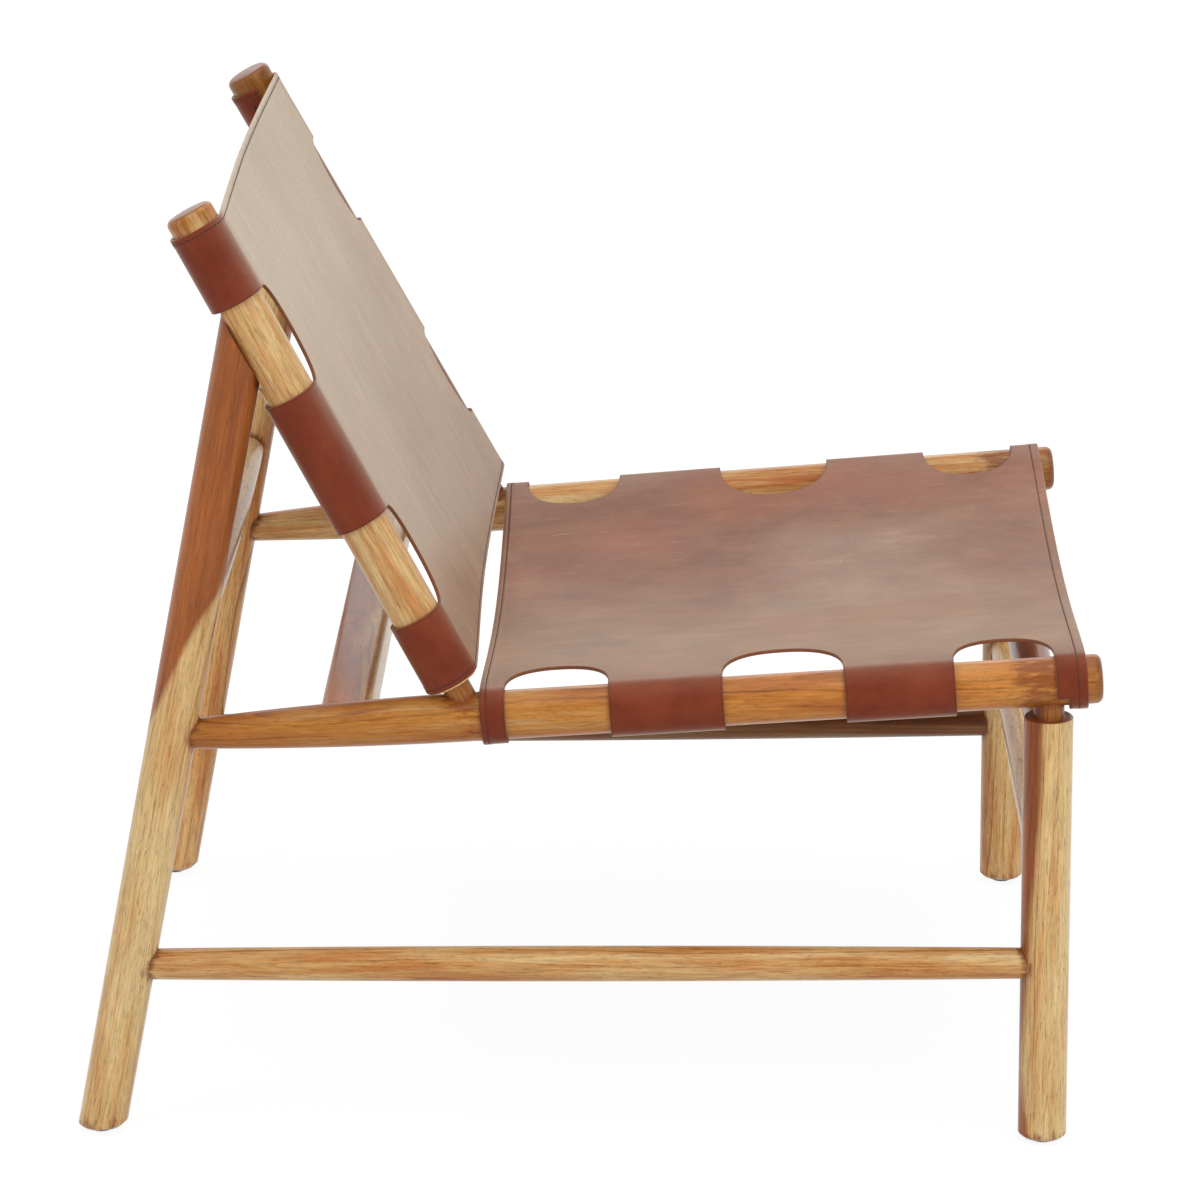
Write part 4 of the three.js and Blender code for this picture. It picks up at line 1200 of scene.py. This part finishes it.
SEAT = Sling(
    name="seat_sling",
    rail=RAIL["left"],
    start=SEAT_SETBACK,
    way=1,
    tilt=180 + RAIL_SLOPE,
    facing=90 + RAIL_SLOPE,
    tabs=(24, 84.525, 87.975, 19.5),
    cuts=(76.5, 93, 80),
    depths=(57, 69, 56),
    sag=21,
    notch=RAIL_OVERHANG - LEG_NECK_DIAMETER / 2 - NECK_GAP - SEAT_SETBACK,
    hems=(7.4, 4.8),
    waves=(
        *((1.6, 150, 90, 90, 80), (-1.4, 250, -60, 70, 90), (1.2, 330, 110, 60, 70)),
        *((-1.0, 90, -130, 60, 60), (1.0, 400, -120, 50, 80)),
    ),
    painted_sheen=((0, 0.02), (466, 0.03)),
    sheen_and_red_patches=(
        *((0.08, 300, -150, 130, 90), (0.24, 185, 30, 80, 100)),
        *((-0.4, 350, 140, 70, 80), (-0.3, 210, 235, 90, 60)),
    ),
)
BACK = Sling(
    name="back_sling",
    rail=POST["left"],
    start=POST_LENGTH - BACK_SETBACK,
    way=-1,
    tilt=POST_LEAN - 90,
    facing=POST_LEAN,
    tabs=(BACK_TOP_TAB, 112, 59),
    cuts=BACK_CUTS,
    depths=(27, 27),
    sag=5,
    notch=0,
    hems=(4.2, 3.8),
    waves=((1.2, 100, 60, 70, 90), (-1.2, 220, -90, 80, 70), (1.3, 300, 60, 60, 90), (0.8, 60, -120, 60, 60)),
    painted_sheen=((0, 0.7), (60, 0.68), (184, 0.53), (320, 0.33), (401, 0.14)),
    sheen_and_red_patches=((-0.32, 390, -200, 60, 120), (0.1, 120, 40, 60, 90), (-0.1, 200, -190, 70, 60)),
)


# Geometry Nodes: stitches and tacks.


def turned_to(t, tangent=None):
    """The rotation that lays Z out of the surface, and X along a tangent, if there is one."""
    out = t.node("GeometryNodeInputNamedAttribute", {"data_type": "FLOAT_VECTOR"}, Name="facing").outputs[0]
    made = t.node("FunctionNodeAlignRotationToVector", {"axis": "Z"}, Vector=out)
    if tangent is not None:
        turn = t.node("FunctionNodeAlignRotationToVector", {"axis": "X"}, Vector=tangent).outputs[0]
        made.pivot_axis = "X"
        t.join(turn, made, "Rotation")
    return made.outputs[0]


def beads(t, made, points, turn, size, segments, rings, material):
    """Ends a tree with a squashed ball on every point."""
    ball = t.node("GeometryNodeMeshUVSphere", Segments=segments, Rings=rings, Radius=0.5).outputs[0]
    ball = t.node("GeometryNodeTransform", Geometry=ball, Scale=t.combined(*size)).outputs[0]
    ball = t.node("GeometryNodeSetShadeSmooth", Geometry=ball).outputs[0]
    rows = t.node("GeometryNodeInstanceOnPoints", Points=points, Instance=ball, Rotation=turn).outputs[0]
    solid = t.node("GeometryNodeRealizeInstances", Geometry=rows).outputs[0]
    solid = t.node("GeometryNodeSetMaterial", Geometry=solid, Material=material).outputs[0]
    t.join(solid, made, "Geometry")


def stitch_group():
    inputs = {
        "Seam": ("Geometry", None),
        "Stitch Length": ("Float", 0.0036),
        "Stitch Gap": ("Float", 0.0006),
        "Thread Thickness": ("Float", 0.0011),
        "Slant": ("Float", 0.12),
        "Seed": ("Int", 4),
        "Thread": ("Material", None),
    }
    group, t, given, made = node_group("Geometry", "Hem stitches", inputs, {"Geometry": "Geometry"})
    group.is_modifier = True
    curve = t.node("GeometryNodeMeshToCurve", Mesh=given["Seam"]).outputs[0]
    pitch = t.plus(given["Stitch Length"], given["Stitch Gap"])
    spaced = t.node("GeometryNodeResampleCurve", {"mode": "LENGTH"}, Curve=curve, Length=pitch).outputs[0]
    turn = turned_to(t, t.node("GeometryNodeInputTangent").outputs[0])
    wobble = t.node("FunctionNodeRandomValue", {"data_type": "FLOAT"}, _2=-0.05, _3=0.05, Seed=given["Seed"])
    lean = t.combined(z=t.plus(given["Slant"], wobble.outputs[1]))
    turn = t.node("FunctionNodeRotateRotation", {"rotation_space": "LOCAL"}, Rotation=turn, Rotate_By=lean)
    size = given["Stitch Length"], given["Thread Thickness"], given["Thread Thickness"]
    beads(t, made, spaced, turn.outputs[0], size, 8, 6, given["Thread"])
    return group


def tack_group():
    inputs = {
        "Places": ("Geometry", None),
        "Head Width": ("Float", 0.0062),
        "Head Height": ("Float", 0.0022),
        "Metal": ("Material", None),
    }
    group, t, given, made = node_group("Geometry", "Tack heads", inputs, {"Geometry": "Geometry"})
    group.is_modifier = True
    size = given["Head Width"], given["Head Width"], given["Head Height"]
    beads(t, made, given["Places"], turned_to(t), size, 16, 8, given["Metal"])
    return group


def grown(name, group, runs, joined, label, material):
    """A plain mesh that a Geometry Nodes tree makes along runs of points, joined or not, with facings."""
    points, ways, edges = [], [], []
    for spots, facings in runs:
        if joined:
            edges += [(len(points) + i, len(points) + i + 1) for i in range(len(spots) - 1)]
        points += spots
        ways += facings
    mesh = bpy.data.meshes.new(name + "_guide")
    mesh.from_pydata((np.array(points) * MM).tolist(), edges, [])
    guide = new_object(name + "_guide", mesh)
    give(guide, "facing", ways)
    modifier = guide.modifiers.new(name, "NODES")
    modifier.node_group = group
    socket = next(item for item in group.interface.items_tree if item.name == label)
    modifier[socket.identifier] = material
    made = new_object(name, baked_mesh(guide))
    bpy.data.objects.remove(guide)
    return made


STITCHES, TACKS = stitch_group(), tack_group()


def dress(sling):
    made = sling.build()
    width = 2 * float(sling.half_width(sling.length / 2) + WRAP * MIDDLE)
    rows = [sling.seam_path(x) for x in (sling.hems[0], sling.length - sling.hems[1])]
    thread = grown(sling.name + "_stitches", STITCHES, rows, True, "Thread", THREAD)
    heads = grown(sling.name + "_tacks", TACKS, [sling.tack_places()], False, "Metal", BRASS)
    for piece in (thread, heads):
        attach(piece, "root")


dress(SEAT)
dress(BACK)


# Studio, in metres.

FLOOR_REACH = 14.0
FLOOR_DROP = 0.0002  # below the glides
WHITE = (1, 1, 1, 1)
CHAIR_MIDDLE = (0, 0, 0.4)


def bare_tree(owner):
    """The emptied tree of a material or a world."""
    owner.use_nodes = True
    owner.node_tree.nodes.clear()
    return Tree(owner.node_tree)


def seen_directly(t):
    """1 for what the camera sees, itself or in a reflection or through glass."""
    path = t.node("ShaderNodeLightPath")
    seen = t.plus(path.outputs["Is Camera Ray"], path.outputs["Is Glossy Ray"])
    return t.maths("ADD", seen, path.outputs["Is Transmission Ray"], clamp=True)


def studio_floor():
    """A pale floor that keeps the chair's shadow and turns white further away."""
    mesh = bpy.data.meshes.new("Studio floor")
    far = FLOOR_REACH
    corners = [(x, y, -FLOOR_DROP) for x, y in ((-far, -far), (far, -far), (far, far), (-far, far))]
    mesh.from_pydata(corners, [], [(0, 1, 2, 3)])
    floor = new_object("Studio floor", mesh)
    material = bpy.data.materials.new("Pale studio floor")
    t = bare_tree(material)
    away = t.vector("LENGTH", t.coordinates())
    plain = t.node("ShaderNodeBsdfDiffuse", Color=(0.72, 0.72, 0.72, 1)).outputs[0]
    white = t.node("ShaderNodeEmission", Color=WHITE, Strength=1.085).outputs[0]
    share = t.times(t.span(away, 0.35, 1.2, 0.84, 1.0), seen_directly(t))
    surface = t.node("ShaderNodeMixShader", _0=share, _1=plain, _2=white).outputs[0]
    t.node("ShaderNodeOutputMaterial", Surface=surface)
    mesh.materials.append(material)


def studio_world():
    """The sweep behind the chair is white, and the room behind the camera is dimmer in reflections."""
    world = bpy.data.worlds.new("White studio")
    bpy.context.scene.world = world
    t = bare_tree(world)
    facing = t.node("ShaderNodeSeparateXYZ", Vector=t.coordinates("Generated")).outputs["Y"]
    sweep = t.span(facing, -0.5, 0.2, 0.3, 1.0)
    sweep = t.maths("MAXIMUM", sweep, t.node("ShaderNodeLightPath").outputs["Is Camera Ray"])
    strength = t.span(seen_directly(t), 0.0, 1.0, 0.66, sweep, False)
    light = t.node("ShaderNodeBackground", Color=WHITE, Strength=strength).outputs[0]
    t.node("ShaderNodeOutputWorld", Surface=light)


def softbox(name, where, size, power, aim=CHAIR_MIDDLE):
    data = bpy.data.lights.new(name, "AREA")
    data.shape, data.size, data.size_y, data.energy = "RECTANGLE", size[0], size[1], power
    lamp = new_object(name, data)
    lamp.location = where
    lamp.rotation_euler = (Vector(aim) - Vector(where)).to_track_quat("-Z", "Y").to_euler()


# The camera where the photographer stood, fitted to the lines of the frame. Angles are in radians.
CAMERA_YAW, CAMERA_PITCH, CAMERA_ROLL = -0.01887204, 0.31220273, 0.00403005
CAMERA_AIM, CAMERA_DISTANCE = (0.0071437, 0, 0.350531), 4.0958672
FOCAL_PIXELS, PHOTO_PIXELS = 4974.70131, 1200
SENSOR_WIDTH = 36.0  # millimetres


def portrait_camera():
    yaw, pitch, roll = CAMERA_YAW, CAMERA_PITCH, CAMERA_ROLL
    ahead = Vector((math.sin(yaw) * math.cos(pitch), math.cos(yaw) * math.cos(pitch), -math.sin(pitch)))
    right = Vector((math.cos(yaw), -math.sin(yaw), 0))
    up = right.cross(ahead)
    across = math.cos(roll) * right + math.sin(roll) * up
    upright = -math.sin(roll) * right + math.cos(roll) * up
    data = bpy.data.cameras.new("Portrait camera")
    data.sensor_width = SENSOR_WIDTH
    data.lens = FOCAL_PIXELS / PHOTO_PIXELS * SENSOR_WIDTH
    data.clip_start, data.clip_end = 0.05, 60
    camera = new_object("Portrait camera", data)
    turn = Matrix((across, upright, -ahead)).transposed().to_4x4()
    camera.matrix_world = Matrix.Translation(Vector(CAMERA_AIM) - CAMERA_DISTANCE * ahead) @ turn
    bpy.context.scene.camera = camera


studio_floor()
studio_world()
softbox("Overhead softbox", (0.3, -0.6, 3.2), (3.0, 3.0), 42, aim=(0, 0, 0.3))
softbox("Front softbox", (1.8, -3.0, 1.9), (2.2, 2.2), 36)
softbox("Back softbox", (0.0, 4.4, 2.5), (4.0, 1.6), 22)
softbox("Left softbox", (-2.8, -1.8, 1.8), (1.8, 2.2), 18)
portrait_camera()
bpy.context.scene.view_settings.view_transform = "Standard"
